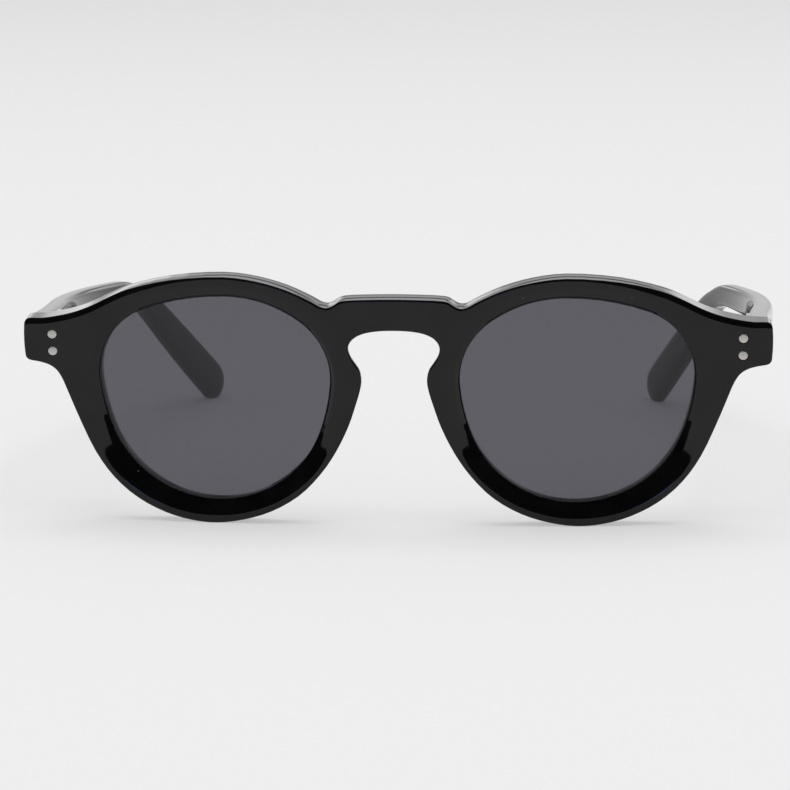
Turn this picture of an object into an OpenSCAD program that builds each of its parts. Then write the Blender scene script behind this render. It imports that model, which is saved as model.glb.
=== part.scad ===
// Round sunglasses: a thick acetate front with a keyhole bridge, flat-tinted lenses,
// riveted five-knuckle hinges and two cored acetate temples.
// The glasses stand open on a table, on the two rims and the two temple tips.
// X runs across the face, Y to the back of the head, Z up. Millimetres.

/* [Lenses] */
// Width of each lens across its bevel
lens_w = 47; // [43:0.5:51]
// Space between the two lenses at the nose
bridge_w = 24; // [21:0.5:27]
// Height of the lens above its widest line
lens_up = 16.8; // [16:0.1:18.5]
// Height of the lens below its widest line
lens_down = 26; // [23:0.5:27.5]
// How much less than the height above the widest line the radius at the lens's two sides is
side_less = 2; // [1.4:0.1:4]
// How much less than half the width the radius at the bottom of the lens is
low_less = 0.9; // [0.4:0.1:3]
// Angle under the widest line at which the lens's flatter lower flanks begin
flank_from = 5; // [3:0.5:7]
// How far the top of the lens lies towards the nose
lens_peak = 2.5; // [0:0.1:3.5]
// Thickness of the lens
lens_t = 1.9; // [1.6:0.1:2.2]
// Radius of the front surface of the lens
lens_curve_r = 265; // [180:5:500]
// Height of the bevel that holds the lens in its groove
bevel_h = 0.7; // [0.5:0.05:0.9]
// Depth of the lens edge's middle behind the front face
bevel_y = 3.2; // [2.8:0.1:3.4]
// Width of the groove that holds the lens
groove_t = 1; // [0.8:0.05:1.2]
// Clearance of the lens in its groove
lens_gap = 0.03; // [0.02:0.01:0.06]

/* [Front] */
// Thickness of the front
front_t = 5.2; // [4.8:0.1:6.5]
// Radius of the curve of the front round the face
wrap_r = 480; // [350:10:900]
// How far the top of the front leans forward, in degrees
lean = 6; // [3:0.5:9]
// Overall width of the front
front_w = 145.2; // [143:0.2:150]
// Width of the rim at the bottom of the lens
rim_low = 4.2; // [3.4:0.1:5.4]
// Width of the rim at the top of the lens
rim_top = 4.1; // [3.2:0.1:5]
// Width of the rim on the nose side
rim_nose = 4; // [3.6:0.1:4.6]
// Width of the rim on the temple side
rim_temple = 4.7; // [4.2:0.1:5.6]
// Width of the dish beside each lens
dish_w = 3.7; // [2:0.1:3.8]
// How much wider the dish is on the temple side, and narrower on the nose side
dish_shift = 0.5; // [0:0.1:0.6]
// Width of the dish above and below each lens
dish_low = 2.5; // [1.5:0.1:2.8]
// Depth of the dish at its inner edge
dish_h = 1.8; // [1.2:0.1:2]

/* [Bridge] */
// Height of the top of the bridge over the rims' lowest points
bridge_top = 45.7; // [44.6:0.1:47]
// Half width of the straight top of the bridge
bridge_half = 10.4; // [8.5:0.1:11.4]
// Depth of the notch between the bridge and the rim
notch_h = 1.8; // [0.8:0.1:2.6]
// Height of the top of the keyhole
key_top = 39.9; // [38:0.1:41]
// Half width of the keyhole
key_half = 9.05; // [8.3:0.05:9.6]
// Half width of the narrowest part of the nose opening
nose_half = 6.55; // [5.6:0.05:7.6]

/* [Endpieces] */
// Height of the upper edge of the endpiece
end_top = 40.1; // [39.4:0.1:41]
// Height of the endpiece
end_h = 8; // [7.4:0.1:9]
// Radius of the endpiece's corners
end_r = 0.8; // [0.5:0.1:1.5]
// Depth of the flat back of the endpiece behind the bridge
end_back = 10.2; // [9.9:0.1:10.4]

/* [Hinges] */
// Diameter of the hinge barrel
barrel_d = 2.8; // [2.4:0.1:3.2]
// Height of the hinge barrel
barrel_h = 5.6; // [5:0.1:6.4]
// Diameter of the hinge screw
screw_d = 1.4; // [1.2:0.1:1.6]
// Diameter of the screw's head
screw_head_d = 2.5; // [2.1:0.1:2.8]
// Height of the screw's head
screw_head_h = 0.6; // [0.4:0.1:0.9]
// Radial clearance of the screw in the knuckles
screw_gap = 0.03; // [0.02:0.01:0.08]
// Clearance between two knuckles
knuckle_gap = 0.06; // [0.04:0.01:0.12]
// Clearance between the barrel and the acetate round it
barrel_gap = 0.15; // [0.1:0.01:0.3]
// Thickness of the hinge leaves
leaf_t = 1; // [0.8:0.05:1.3]
// Length of the leaf on the temple
leaf_l = 11; // [9.5:0.5:13]
// Distance of the hinge axis from the outer side of the endpiece
hinge_in = 5.2; // [4.9:0.1:5.6]
// Gap between the endpiece and the end of the open temple
butt_gap = 0.06; // [0.04:0.01:0.12]

/* [Rivets] */
// Diameter of the rivets
rivet_d = 1.76; // [1.5:0.02:2]
// Distance between the two rivets of a pair
rivet_pitch = 3.4; // [3.1:0.1:3.8]
// Distance of the front rivets from the outer side of the endpiece
rivet_in = 5.4; // [5:0.1:6]
// Clearance round a rivet
rivet_gap = 0.02; // [0.01:0.01:0.05]
// How far a temple rivet's head stands proud
rivet_proud = 0.1; // [0.05:0.05:0.3]

/* [Temples] */
// Thickness of the temple at the hinge
temple_t = 4.4; // [4.2:0.1:5]
// How far the open temple is splayed outward, in degrees
splay = 1.5; // [0:0.1:3]
// Outward bow of the temple half way to the ear
temple_bow = 2.8; // [0:0.1:4]
// Distance from the hinge to the ear bend
temple_straight = 93; // [84:1:98]
// Distance from the ear bend to the tip, towards the back
temple_hook = 41; // [36:1:50]
// How far the tip curves in from the line of the shaft
tip_in = 22.3; // [14:0.1:26]
// Height of the temple at the ear bend
temple_h = 4.5; // [4.2:0.1:6]
// Height of the paddle near the tip
paddle_h = 9; // [7:0.1:10]
// Length over which the ear bend turns down
bend_l = 20; // [12:1:32]
// Drop of the shaft from the hinge to the ear bend
shaft_drop = 4.9; // [3:0.1:7]
// Height of the wire core
core_h = 2.2; // [1.6:0.1:2.6]
// Thickness of the wire core
core_t = 1.1; // [0.8:0.1:1.4]
// Clearance round the wire core
core_gap = 0.06; // [0.04:0.01:0.12]

/* [Nose pads] */
// Length of the nose pads
pad_l = 13; // [10:0.5:16]
// How far the nose pads stand out behind the front
pad_deep = 4.6; // [3.5:0.1:5.5]
// Width of the nose pads
pad_w = 4; // [3.2:0.1:4.8]

/* [Hidden] */

acetate = [0.07, 0.07, 0.08];
pad_acetate = [0.12, 0.12, 0.13];
tint = [0.3, 0.3, 0.33, 0.75];
steel = [0.72, 0.7, 0.68];
wire = [0.6, 0.6, 0.62];

$fn = 96;
fine = 360;
pin_fn = 64;
eps = 0.01;
// Reach of the cutting shapes, ahead of the front, behind it and past everything
ahead = 5;
behind = 20;
far = 300;

// Place of the eye: the lens centre line, on the curved face
eye_x = (lens_w + bridge_w) / 2;
eye_z = lens_down - bevel_h + rim_low;
eye_turn = asin(eye_x / wrap_r);
eye_y = wrap_r * (1 - cos(eye_turn));
lens_sag = pow(lens_w / 2, 2) / (2 * lens_curve_r);
lens_fn = 200;
lens_side_r = lens_up - side_less;
lens_low_r = lens_w / 2 - low_less;
half_w = front_w / 2;
front_h = 60;
butt_in = 4;

// The lens outline as tangent arcs, in the eye's own plane, each [centre, radius, from, to].
// The centre is measured from the middle of the widest line, and the nose is at -X.
function top_r(half) = (pow(half - lens_side_r, 2) + lens_up * lens_up - lens_side_r * lens_side_r)
  / (2 * (lens_up - lens_side_r));
function top_turn(half) = atan2(top_r(half) - lens_up, half - lens_side_r);
side_c = lens_w / 2 - lens_side_r;
low_c = lens_low_r - lens_down;
low_more = lens_low_r - lens_side_r;
flank_more = (side_c * side_c + low_c * low_c - low_more * low_more)
  / (2 * (side_c * cos(flank_from) + low_c * sin(flank_from) - low_more));
flank_r = lens_side_r + flank_more;
flank_c = [side_c - flank_more * cos(flank_from), flank_more * sin(flank_from)];
flank_to = atan2(flank_c[1] - low_c, -flank_c[0]);
turn_out = top_turn(lens_w / 2 + lens_peak);
turn_in = top_turn(lens_w / 2 - lens_peak);
r_out = top_r(lens_w / 2 + lens_peak);
r_in = top_r(lens_w / 2 - lens_peak);
lens_arcs = [
  [[side_c, 0], lens_side_r, 0, turn_out],
  [[-lens_peak, lens_up - r_out], r_out, turn_out, 90],
  [[-lens_peak, lens_up - r_in], r_in, 90, 180 - turn_in],
  [[-side_c, 0], lens_side_r, 180 - turn_in, 180 + flank_from],
  [[-flank_c[0], flank_c[1]], flank_r, 180 + flank_from, 180 + flank_to],
  [[0, low_c], lens_low_r, 180 + flank_to, 360 - flank_to],
  [flank_c, flank_r, 360 - flank_to, 360 - flank_from],
  [[side_c, 0], lens_side_r, 360 - flank_from, 360]];
function dir(a) = [cos(a), sin(a)];
function lens_point(a, grow) = [for (arc = lens_arcs) if (a >= arc[2] && a <= arc[3])
  arc[0] + (arc[1] + grow) * dir(a)][0];

// The same outline grown by an amount, as points along its arcs
lens_steps = 72;
function lens_line(grow) = [for (arc = lens_arcs) let (n = max(1, ceil((arc[3] - arc[2]) / 360 * lens_steps)))
  for (i = [0:n - 1]) arc[0] + (arc[1] + grow) * dir(arc[2] + (arc[3] - arc[2]) * i / n)];
opening = lens_line(-bevel_h);

// From the leaning front's own Y and Z to the Y and Z over the table, before the last shift
function stand(y, z) = [y * cos(lean) - z * sin(lean), y * sin(lean) + z * cos(lean)];
base_z = -stand(eye_y, 0)[1];

// The front's outline, as knots of a smooth closed curve, on the wearer's left half.
// Rim knots follow the lens at the angle of its own edge.
function rim(a, w) = let (p = lens_point(a, w - bevel_h)) [eye_x + p[0] * cos(eye_turn), eye_z + p[1]];
end_low = end_top - end_h;
notch_x = (bridge_half + rim(125, rim_top + 0.8)[0]) / 2 - 0.4;
key_z = key_top - 3.9;
nose_z = key_z - 6.3;
half_outline = [
  [bridge_half * 0.5, bridge_top - 0.08],
  [bridge_half * 0.85, bridge_top - 0.25],
  [bridge_half, bridge_top - 0.5],
  [bridge_half + (notch_x - bridge_half) * 0.55, bridge_top - notch_h * 0.75],
  [notch_x, bridge_top - notch_h],
  [notch_x + 1.2, bridge_top - notch_h * 0.9],
  rim(125, rim_top + 0.85), rim(115, rim_top + 0.35), rim(103, rim_top), rim(90, rim_top),
  rim(78, rim_top + 0.2), rim(66, rim_top + 0.6), rim(55, rim_top + 0.95), rim(42, rim_top + 2.1),
  [half_w - 10.1, end_top + 1.65], [half_w - 6.6, end_top + 0.7], [half_w - 3.4, end_top + 0.12],
  [half_w - end_r, end_top], [half_w - end_r * 0.3, end_top - end_r * 0.3], [half_w, end_top - end_r],
  [half_w, end_low + end_r], [half_w - end_r * 0.3, end_low + end_r * 0.3],
  [half_w - end_r, end_low],
  [half_w - 2.6, end_low - 0.25], [half_w - 4.6, end_low - 0.8],
  [half_w - 6.1, end_low - 1.8], [half_w - 7.2, end_low - 3.5], [half_w - 8.3, end_low - 6.2],
  rim(346, rim_temple + 0.7), rim(333, rim_temple + 0.1), rim(320, rim_temple),
  rim(306, rim_temple - 0.1), rim(293, (rim_low + rim_temple) / 2), rim(281, rim_low + 0.1),
  rim(270, rim_low), rim(258, rim_nose), rim(245, rim_nose), rim(231, rim_nose), rim(217, rim_nose),
  rim(205, rim_nose + 0.3),
  [nose_half + 2.65, nose_z - 9.3], [nose_half + 1.15, nose_z - 4.9], [nose_half + 0.25, nose_z - 1.8],
  [nose_half, nose_z], [nose_half + 0.35, nose_z + 2],
  [(nose_half + key_half) / 2, nose_z + 3.4], [key_half - 0.4, key_z - 1.5], [key_half, key_z],
  [key_half - 0.3, key_z + 1.2], [key_half - 1.25, key_z + 2.3], [key_half - 2.85, key_z + 3.15],
  [key_half * 0.39, key_top - 0.18]];
knots = concat([[0, bridge_top]], half_outline, [[0, key_top]],
  [for (i = [len(half_outline) - 1:-1:0]) [-half_outline[i][0], half_outline[i][1]]]);

// A smooth closed curve through knots, with the turns kept tight where knots lie close
function mix(a, b, ta, tb, t) = (a * (tb - t) + b * (t - ta)) / (tb - ta);
function curve_point(p, t, u) =
  let (a1 = mix(p[0], p[1], t[0], t[1], u), a2 = mix(p[1], p[2], t[1], t[2], u),
    a3 = mix(p[2], p[3], t[2], t[3], u),
    b1 = mix(a1, a2, t[0], t[2], u), b2 = mix(a2, a3, t[1], t[3], u))
  mix(b1, b2, t[1], t[2], u);
function curve_span(p, steps) =
  let (d = [for (i = [0:2]) sqrt(norm(p[i + 1] - p[i]))], t = [0, d[0], d[0] + d[1], d[0] + d[1] + d[2]])
  [for (s = [0:steps - 1]) curve_point(p, t, t[1] + (t[2] - t[1]) * s / steps)];
function closed_curve(k, steps) = let (n = len(k))
  [for (i = [0:n - 1]) each curve_span([k[(i + n - 1) % n], k[i], k[(i + 1) % n], k[(i + 2) % n]], steps)];

// Hinge place on the wearer's left side, over the table
hinge_x = half_w - hinge_in;
end_z = end_top - end_h / 2;
butt = stand(end_back, end_z);
barrel_r = barrel_d / 2;
hinge_y = butt[0] + barrel_h / 2 * tan(lean) + barrel_r + barrel_gap;
hinge_z = butt[1];
level_h = barrel_h / 5;

// Temple centre line as a function of the distance behind the endpiece, before it is splayed
temple_end = temple_straight + temple_hook;
shaft_slope = shaft_drop / temple_straight;
function bend(y) = let (a = temple_straight - bend_l / 2)
  y < a ? 0 : y < a + bend_l ? pow(y - a, 2) / (2 * bend_l) : y - temple_straight;
function temple_height(y) = y < temple_straight
  ? end_h + (temple_h - end_h) * max(y, 0) / temple_straight
  : temple_h + (paddle_h - temple_h) * (1 - pow(1 - (y - temple_straight) / temple_hook, 2));
temple_taper = 0.4;
function temple_thick(y) = temple_t - temple_taper * min(1, max(y, 0) / temple_straight);
inward_from = 0.34 * temple_straight;
inward_power = 1.77;
function inward(y) = tip_in * pow(max(0, (y - inward_from) / (temple_end - inward_from)), inward_power);
function outward(y) = temple_bow * pow(sin(180 * max(y, 0) / temple_end), 2);
function temple_x(y) = half_w - temple_thick(y) / 2 + outward(y) - inward(y);
// The round tip lies on the table, with a small flat worn on it
cap_l = paddle_h / 2;
cap_at = temple_end - cap_l;
foot_cut = 0.3;
hook_slope = (hinge_z + base_z - cap_l + foot_cut - shaft_slope * cap_at) / (cap_at - temple_straight);
function temple_z(y) = hinge_z - shaft_slope * y - hook_slope * bend(y);
function temple_at(y) = [temple_x(y), butt[0] + y, temple_z(y)];
function unit(v) = v / norm(v);
function temple_dir(y) = unit(temple_at(y + 0.5) - temple_at(y - 0.5));

// Section across the temple, nearly square at the hinge, rounder at the ear bend and round at the tip,
// and the rings that carry it
sides = 16;
hinge_power = 0.35;
shaft_power = 0.62;
tip_power = 0.8;
square_l = temple_straight / 2;
function between(a, b, share) = a + (b - a) * min(1, max(0, share));
function roundness(y) = y < temple_straight ? between(hinge_power, shaft_power, y / square_l)
  : between(shaft_power, tip_power, (y - temple_straight) / temple_hook);
function bulge(v, power) = sign(v) * pow(abs(v), power);
function ring(c, d, t, h, power, n) = let (s = unit(cross(d, [0, 0, 1])), u = cross(s, d))
  [for (j = [0:n - 1]) let (a = 360 * (j + 0.5) / n)
    c + s * (bulge(cos(a), power) * t / 2) + u * (bulge(sin(a), power) * h / 2)];
cap_turns = [22, 44, 64, 80];
temple_stops = concat([-temple_t, 0], [for (i = [1:9]) i * (temple_straight - bend_l / 2) / 9],
  [for (i = [1:6]) temple_straight - bend_l / 2 + i * bend_l / 6],
  [for (i = [1:5]) temple_straight + bend_l / 2 + i * (temple_hook - bend_l / 2 - cap_l) / 5]);
temple_rings = concat(
  [for (y = temple_stops)
    ring(temple_at(y), temple_dir(y), temple_thick(y), temple_height(y), roundness(y), sides)],
  [for (a = cap_turns) ring(temple_at(cap_at) + temple_dir(cap_at) * cap_l * sin(a), temple_dir(cap_at),
    temple_thick(cap_at) * sqrt(cos(a)), temple_height(cap_at) * cos(a), tip_power, sides)]);

// The wire core starts under the tail of the hinge leaf and ends short of the tip
core_under = 0.9;
window_l = 0.7;
core_short = 6;
core_from = hinge_y - butt[0] + leaf_l - core_under;
core_to = cap_at - core_short;
core_count = 18;
core_sides = 8;
function core_ring(y, shift, grow) =
  ring(temple_at(y + shift), temple_dir(y), core_t + 2 * grow, core_h + 2 * grow, shaft_power, core_sides);
function core_rings(grow) = [for (i = [0:core_count]) let (shift = i == 0 ? -grow : i == core_count ? grow : 0)
  core_ring(core_from + (core_to - core_from) * i / core_count, shift, grow)];

function splayed_y(p) = hinge_y + (p[1] - hinge_y) * cos(splay) - (p[0] - hinge_x) * sin(splay);
tip_back = max([for (r = temple_rings) for (p = r) splayed_y(p)]);
middle_y = (tip_back - bridge_top * sin(lean)) / 2;

module settle() translate([0, -middle_y, base_z]) children();
module leaning() settle() rotate([lean, 0, 0]) children();
module on_side(side) mirror([side < 0 ? 1 : 0, 0, 0]) children();
module splayed() translate([hinge_x, hinge_y, 0]) rotate([0, 0, -splay])
  translate([-hinge_x, -hinge_y, 0]) children();
module at_eye() translate([eye_x, eye_y, eye_z]) rotate([0, 0, eye_turn]) children();

// Upright slab with the outline given in X and Z, from one depth to another
module slab(points, from, to) translate([0, to, 0]) rotate([90, 0, 0])
  linear_extrude(to - from) polygon(points);

// Dish in the face round the lens, its sides sloping out to the front
opening_h = lens_up + lens_down - 2 * bevel_h;
dish_z = (lens_up - lens_down) / 2;
dish_x = -dish_shift * (lens_w / 2 - bevel_h) / dish_w;
dish_all = dish_h + 1;
dish_scale = [1, 1] + [dish_w / (lens_w / 2 - bevel_h), 2 * dish_low / opening_h] * dish_all / dish_h;
module dish() translate([dish_x, dish_h, dish_z]) rotate([90, 0, 0])
  linear_extrude(height = dish_all, scale = dish_scale, slices = 1)
    translate([-dish_x, -dish_z]) polygon(opening);

// Solid swept through rings
module sweep(rings) {
  n = len(rings[0]);
  last = len(rings) - 1;
  polyhedron(points = [for (r = rings) each r],
    faces = concat([[for (j = [n - 1:-1:0]) j]],
      [for (i = [0:last - 1]) for (j = [0:n - 1])
        let (a = i * n + j, b = i * n + (j + 1) % n) each [[a, b + n, a + n], [a, b, b + n]]],
      [[for (j = [0:n - 1]) last * n + j]]), convexity = 6);
}

// Rivets through the endpiece and its hinge leaf
rivet_x = half_w - rivet_in;
rivet_drop = 0.4;
rivet_z = end_z - rivet_drop;
module rivet_at(k, d) translate([rivet_x, -ahead, rivet_z + k * rivet_pitch / 2])
  rotate([-90, 0, 0]) cylinder(d = d, h = end_back + ahead, $fn = pin_fn);
module rivet_holes() for (k = [-1, 1]) rivet_at(k, rivet_d + 2 * rivet_gap);

// Leaf of the front hinge, let into the flat back of the endpiece
leaf_in = barrel_r + 1;
leaf_out = barrel_r;
leaf_half = rivet_pitch / 2 + rivet_d / 2 + 0.5;
module front_leaf(grow, open)
  translate([hinge_x - leaf_in - grow, end_back - leaf_t - grow, rivet_z - leaf_half - grow])
    cube([leaf_in + leaf_out + 2 * grow, leaf_t + grow + open, 2 * (leaf_half + grow)]);

// The curved sheet that the front is cut from
module face_shell() translate([0, wrap_r, -ahead]) difference() {
  cylinder(r = wrap_r, h = front_h, $fn = fine);
  translate([0, 0, -1]) cylinder(r = wrap_r - front_t, h = front_h + 2, $fn = fine);
}
module behind_face() translate([0, wrap_r, -ahead]) cylinder(r = wrap_r - front_t, h = front_h, $fn = fine);

// Everything ahead of the flat back of the endpiece, up to an offset
module ahead_of_butt(offset) leaning() translate([0, end_back + offset - far, -far / 2]) cube(far);

module front() color(acetate) leaning() difference() {
  intersection() {
    slab(closed_curve(knots, 3), -ahead, behind);
    face_shell();
  }
  for (side = [-1, 1]) on_side(side) {
    at_eye() {
      slab(opening, -ahead, behind);
      slab(lens_line(0), bevel_y - groove_t / 2, bevel_y + groove_t / 2);
      dish();
    }
    translate([rivet_x - butt_in, end_back, -ahead]) cube([behind, behind, front_h]);
    front_leaf(eps, 1);
    rivet_holes();
  }
}

// Lens: a thin meniscus with a tongue round its edge that sits in the groove
tongue_in = 0.3;
module lens(side) color(tint) leaning() on_side(side) at_eye() {
  intersection() {
    slab(lens_line(-bevel_h - lens_gap), -ahead, behind);
    translate([0, bevel_y - lens_t / 2 - lens_sag + lens_curve_r, 0]) difference() {
      sphere(r = lens_curve_r, $fn = lens_fn);
      sphere(r = lens_curve_r - lens_t, $fn = lens_fn);
    }
  }
  difference() {
    slab(lens_line(-lens_gap), bevel_y - groove_t / 2 + lens_gap, bevel_y + groove_t / 2 - lens_gap);
    slab(lens_line(-bevel_h - lens_gap - tongue_in), -ahead, behind);
  }
}

// Nose pad: a rounded block moulded to the back of the rim
pad_r = 1.6;
pad_tilt = 0.07;
pad_slope = 0.35;
pad_arch = 0.3;
pad_x = nose_half + 3.5;
pad_z = nose_z - 4.6;
module pad_ball(k, across, depth) translate([pad_x + abs(k) * pad_arch - k * pad_l * pad_tilt + across, depth,
  pad_z + k * (pad_l / 2 - pad_r)]) sphere(r = pad_r, $fn = 20);
module nose_pad(side) color(pad_acetate) leaning() on_side(side) intersection() {
  hull() for (k = [-1, 0, 1]) {
    pad_ball(k, 0, front_t + (pad_deep - pad_r) * (1 - abs(k) * pad_slope));
    pad_ball(k, pad_w - 2 * pad_r, front_t);
  }
  behind_face();
}

module front_rivet(side, k) color(steel) leaning() on_side(side) difference() {
  rivet_at(k, rivet_d);
  translate([0, wrap_r, -ahead]) difference() {
    cylinder(r = wrap_r + behind, h = front_h, $fn = fine);
    translate([0, 0, -1]) cylinder(r = wrap_r, h = front_h + 2, $fn = fine);
  }
}

// Knuckles are counted from the middle one, upwards
front_levels = [-2, 0, 2];
temple_levels = [-1, 1];
module at_level(level) translate([hinge_x, hinge_y, hinge_z + (level - 0.5) * level_h]) children();
module knuckle(level) at_level(level) translate([0, 0, knuckle_gap / 2])
  cylinder(r = barrel_r, h = level_h - knuckle_gap, $fn = pin_fn);
module screw_bore() translate([hinge_x, hinge_y, hinge_z - barrel_h])
  cylinder(d = screw_d + 2 * screw_gap, h = 2 * barrel_h, $fn = pin_fn);

module hinge_front(side) color(steel) on_side(side) difference() {
  union() {
    leaning() difference() {
      front_leaf(0, 0);
      rivet_holes();
    }
    settle() for (level = front_levels) knuckle(level);
    difference() {
      settle() for (level = front_levels) at_level(level)
        translate([-barrel_r / 2, butt[0] - barrel_h / 2 - hinge_y, knuckle_gap / 2])
          cube([barrel_r, hinge_y - butt[0] + barrel_h / 2, level_h - knuckle_gap]);
      ahead_of_butt(0);
    }
  }
  settle() screw_bore();
}

slot_w = 0.3;
module hinge_screw(side) color(steel) on_side(side) settle()
  translate([hinge_x, hinge_y, hinge_z]) difference() {
  union() {
    translate([0, 0, -barrel_h / 2]) cylinder(d = screw_d, h = barrel_h + screw_head_h, $fn = pin_fn);
    translate([0, 0, barrel_h / 2]) cylinder(d = screw_head_d, h = screw_head_h, $fn = pin_fn);
  }
  translate([-screw_head_d, -slot_w / 2, barrel_h / 2 + screw_head_h / 2])
    cube([2 * screw_head_d, slot_w, screw_head_h]);
}

// Leaf of the temple hinge, let into the inner side of the temple
pocket_x = half_w - temple_t + leaf_t;
leaf_end = leaf_l - 2.2;
temple_rivet_pitch = rivet_pitch + 1;
leaf_open = 2;
module temple_leaf(grow, open)
  translate([pocket_x - leaf_t - open, hinge_y - grow, hinge_z - barrel_h / 2 - grow])
    cube([leaf_t + grow + open, leaf_l + 2 * grow, barrel_h + 2 * grow]);
function temple_rivet_y(k) = hinge_y + leaf_end - (k < 0 ? temple_rivet_pitch : 0);
function temple_out(y) = temple_x(y - butt[0]) + temple_thick(y - butt[0]) / 2;
module temple_rivet_at(k, d) translate([pocket_x - leaf_t, temple_rivet_y(k), hinge_z]) rotate([0, 90, 0])
  cylinder(d = d, h = temple_out(temple_rivet_y(k)) + rivet_proud - pocket_x + leaf_t, $fn = pin_fn);

// Way for the wire core out of its channel to the underside of the leaf
module core_window() translate([pocket_x - eps, butt[0] + core_from - core_gap / 2, hinge_z - core_h / 2])
  cube([temple_t / 2 - leaf_t + eps, window_l, core_h]);

// Room round the barrel at the front end of the temple
barrel_room_h = barrel_h + screw_head_h + 2 * barrel_gap;
module barrel_room() translate([hinge_x, hinge_y, hinge_z - barrel_h / 2 - barrel_gap]) {
  cylinder(r = barrel_r + barrel_gap, h = barrel_room_h, $fn = pin_fn);
  translate([-hinge_in, -hinge_in, 0]) cube([hinge_in + barrel_r, hinge_in, barrel_room_h]);
}

module temple(side) color(acetate) on_side(side) difference() {
  settle() splayed() difference() {
    sweep(temple_rings);
    sweep(core_rings(core_gap));
    temple_leaf(eps, leaf_open);
    core_window();
    barrel_room();
    for (k = [-1, 1]) temple_rivet_at(k, rivet_d + 2 * rivet_gap);
  }
  ahead_of_butt(butt_gap);
  translate([0, 0, -behind]) cube([far, far, behind]);
}

module core_wire(side) color(wire) on_side(side) settle() splayed() sweep(core_rings(0));

module temple_rivet(side, k) color(steel) on_side(side) settle() splayed() temple_rivet_at(k, rivet_d);

module hinge_temple(side) color(steel) on_side(side) settle() splayed() difference() {
  union() {
    difference() {
      temple_leaf(0, 0);
      for (level = front_levels) at_level(level) translate([0, 0, -knuckle_gap / 2])
        cylinder(r = barrel_r + barrel_gap / 2, h = level_h + knuckle_gap, $fn = pin_fn);
      for (k = [-1, 1]) temple_rivet_at(k, rivet_d + 2 * rivet_gap);
    }
    for (level = temple_levels) knuckle(level);
  }
  screw_bore();
}

front();
nose_pad(1);  // nose_pad_left
nose_pad(-1);  // nose_pad_right
lens(1);  // lens_left
lens(-1);  // lens_right
front_rivet(1, 1);  // front_rivet_upper_left
front_rivet(1, -1);  // front_rivet_lower_left
front_rivet(-1, 1);  // front_rivet_upper_right
front_rivet(-1, -1);  // front_rivet_lower_right
hinge_front(1);  // hinge_front_left
hinge_front(-1);  // hinge_front_right
hinge_screw(1);  // hinge_screw_left
hinge_screw(-1);  // hinge_screw_right
temple(1);  // temple_left
temple(-1);  // temple_right
core_wire(1);  // core_wire_left
core_wire(-1);  // core_wire_right
hinge_temple(1);  // hinge_temple_left
hinge_temple(-1);  // hinge_temple_right
temple_rivet(1, -1);  // temple_rivet_front_left
temple_rivet(1, 1);  // temple_rivet_rear_left
temple_rivet(-1, -1);  // temple_rivet_front_right
temple_rivet(-1, 1);  // temple_rivet_rear_right
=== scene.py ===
"""Round acetate sunglasses, dressed over their packed construction: a polished black front with a
keyhole bridge, grey lenses, riveted hinges and cored temples, standing open on a pale floor."""
import logging
import math
from dataclasses import dataclass, field
from enum import Enum
from typing import Any, Sequence

import bmesh
import bpy
import numpy as np
from mathutils import Matrix, Vector
from mathutils.geometry import delaunay_2d_cdt


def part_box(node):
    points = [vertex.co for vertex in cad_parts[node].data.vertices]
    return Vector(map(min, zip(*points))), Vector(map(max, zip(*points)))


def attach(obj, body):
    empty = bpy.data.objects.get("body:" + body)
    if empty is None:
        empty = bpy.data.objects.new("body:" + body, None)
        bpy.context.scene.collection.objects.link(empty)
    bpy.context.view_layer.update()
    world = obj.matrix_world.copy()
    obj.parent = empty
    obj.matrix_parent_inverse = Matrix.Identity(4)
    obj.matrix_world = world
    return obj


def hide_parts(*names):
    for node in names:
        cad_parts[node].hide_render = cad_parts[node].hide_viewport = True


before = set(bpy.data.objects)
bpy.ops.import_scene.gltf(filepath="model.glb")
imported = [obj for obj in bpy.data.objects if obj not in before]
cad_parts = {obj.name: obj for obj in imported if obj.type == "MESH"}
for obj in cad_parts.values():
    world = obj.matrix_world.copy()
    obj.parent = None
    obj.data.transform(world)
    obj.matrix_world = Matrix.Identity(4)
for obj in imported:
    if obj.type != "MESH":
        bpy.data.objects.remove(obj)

log = logging.getLogger("sunglasses")

MM = 0.001
WELD = 1e-7
PHOTO_PIXELS = 790
BLOCK_FACES = [(0, 1, 3, 2), (4, 6, 7, 5), (0, 4, 5, 1), (2, 3, 7, 6), (0, 2, 6, 4), (1, 5, 7, 3)]
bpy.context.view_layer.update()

Colour = tuple[float, float, float, float]
Triple = tuple[float, float, float]
Span = tuple[float, float]
Face = tuple[int, ...]


class Side(Enum):
    """The wearer's two sides, with the sign of X on each."""

    LEFT = 1
    RIGHT = -1

    @property
    def label(self) -> str:
        """The side's word in node and body names."""
        return self.name.lower()


class Ray(Enum):
    """The kinds of ray that a finish can tell apart."""

    CAMERA = "Is Camera Ray"
    GLOSSY = "Is Glossy Ray"
    CLEAR = "Is Transmission Ray"


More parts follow.
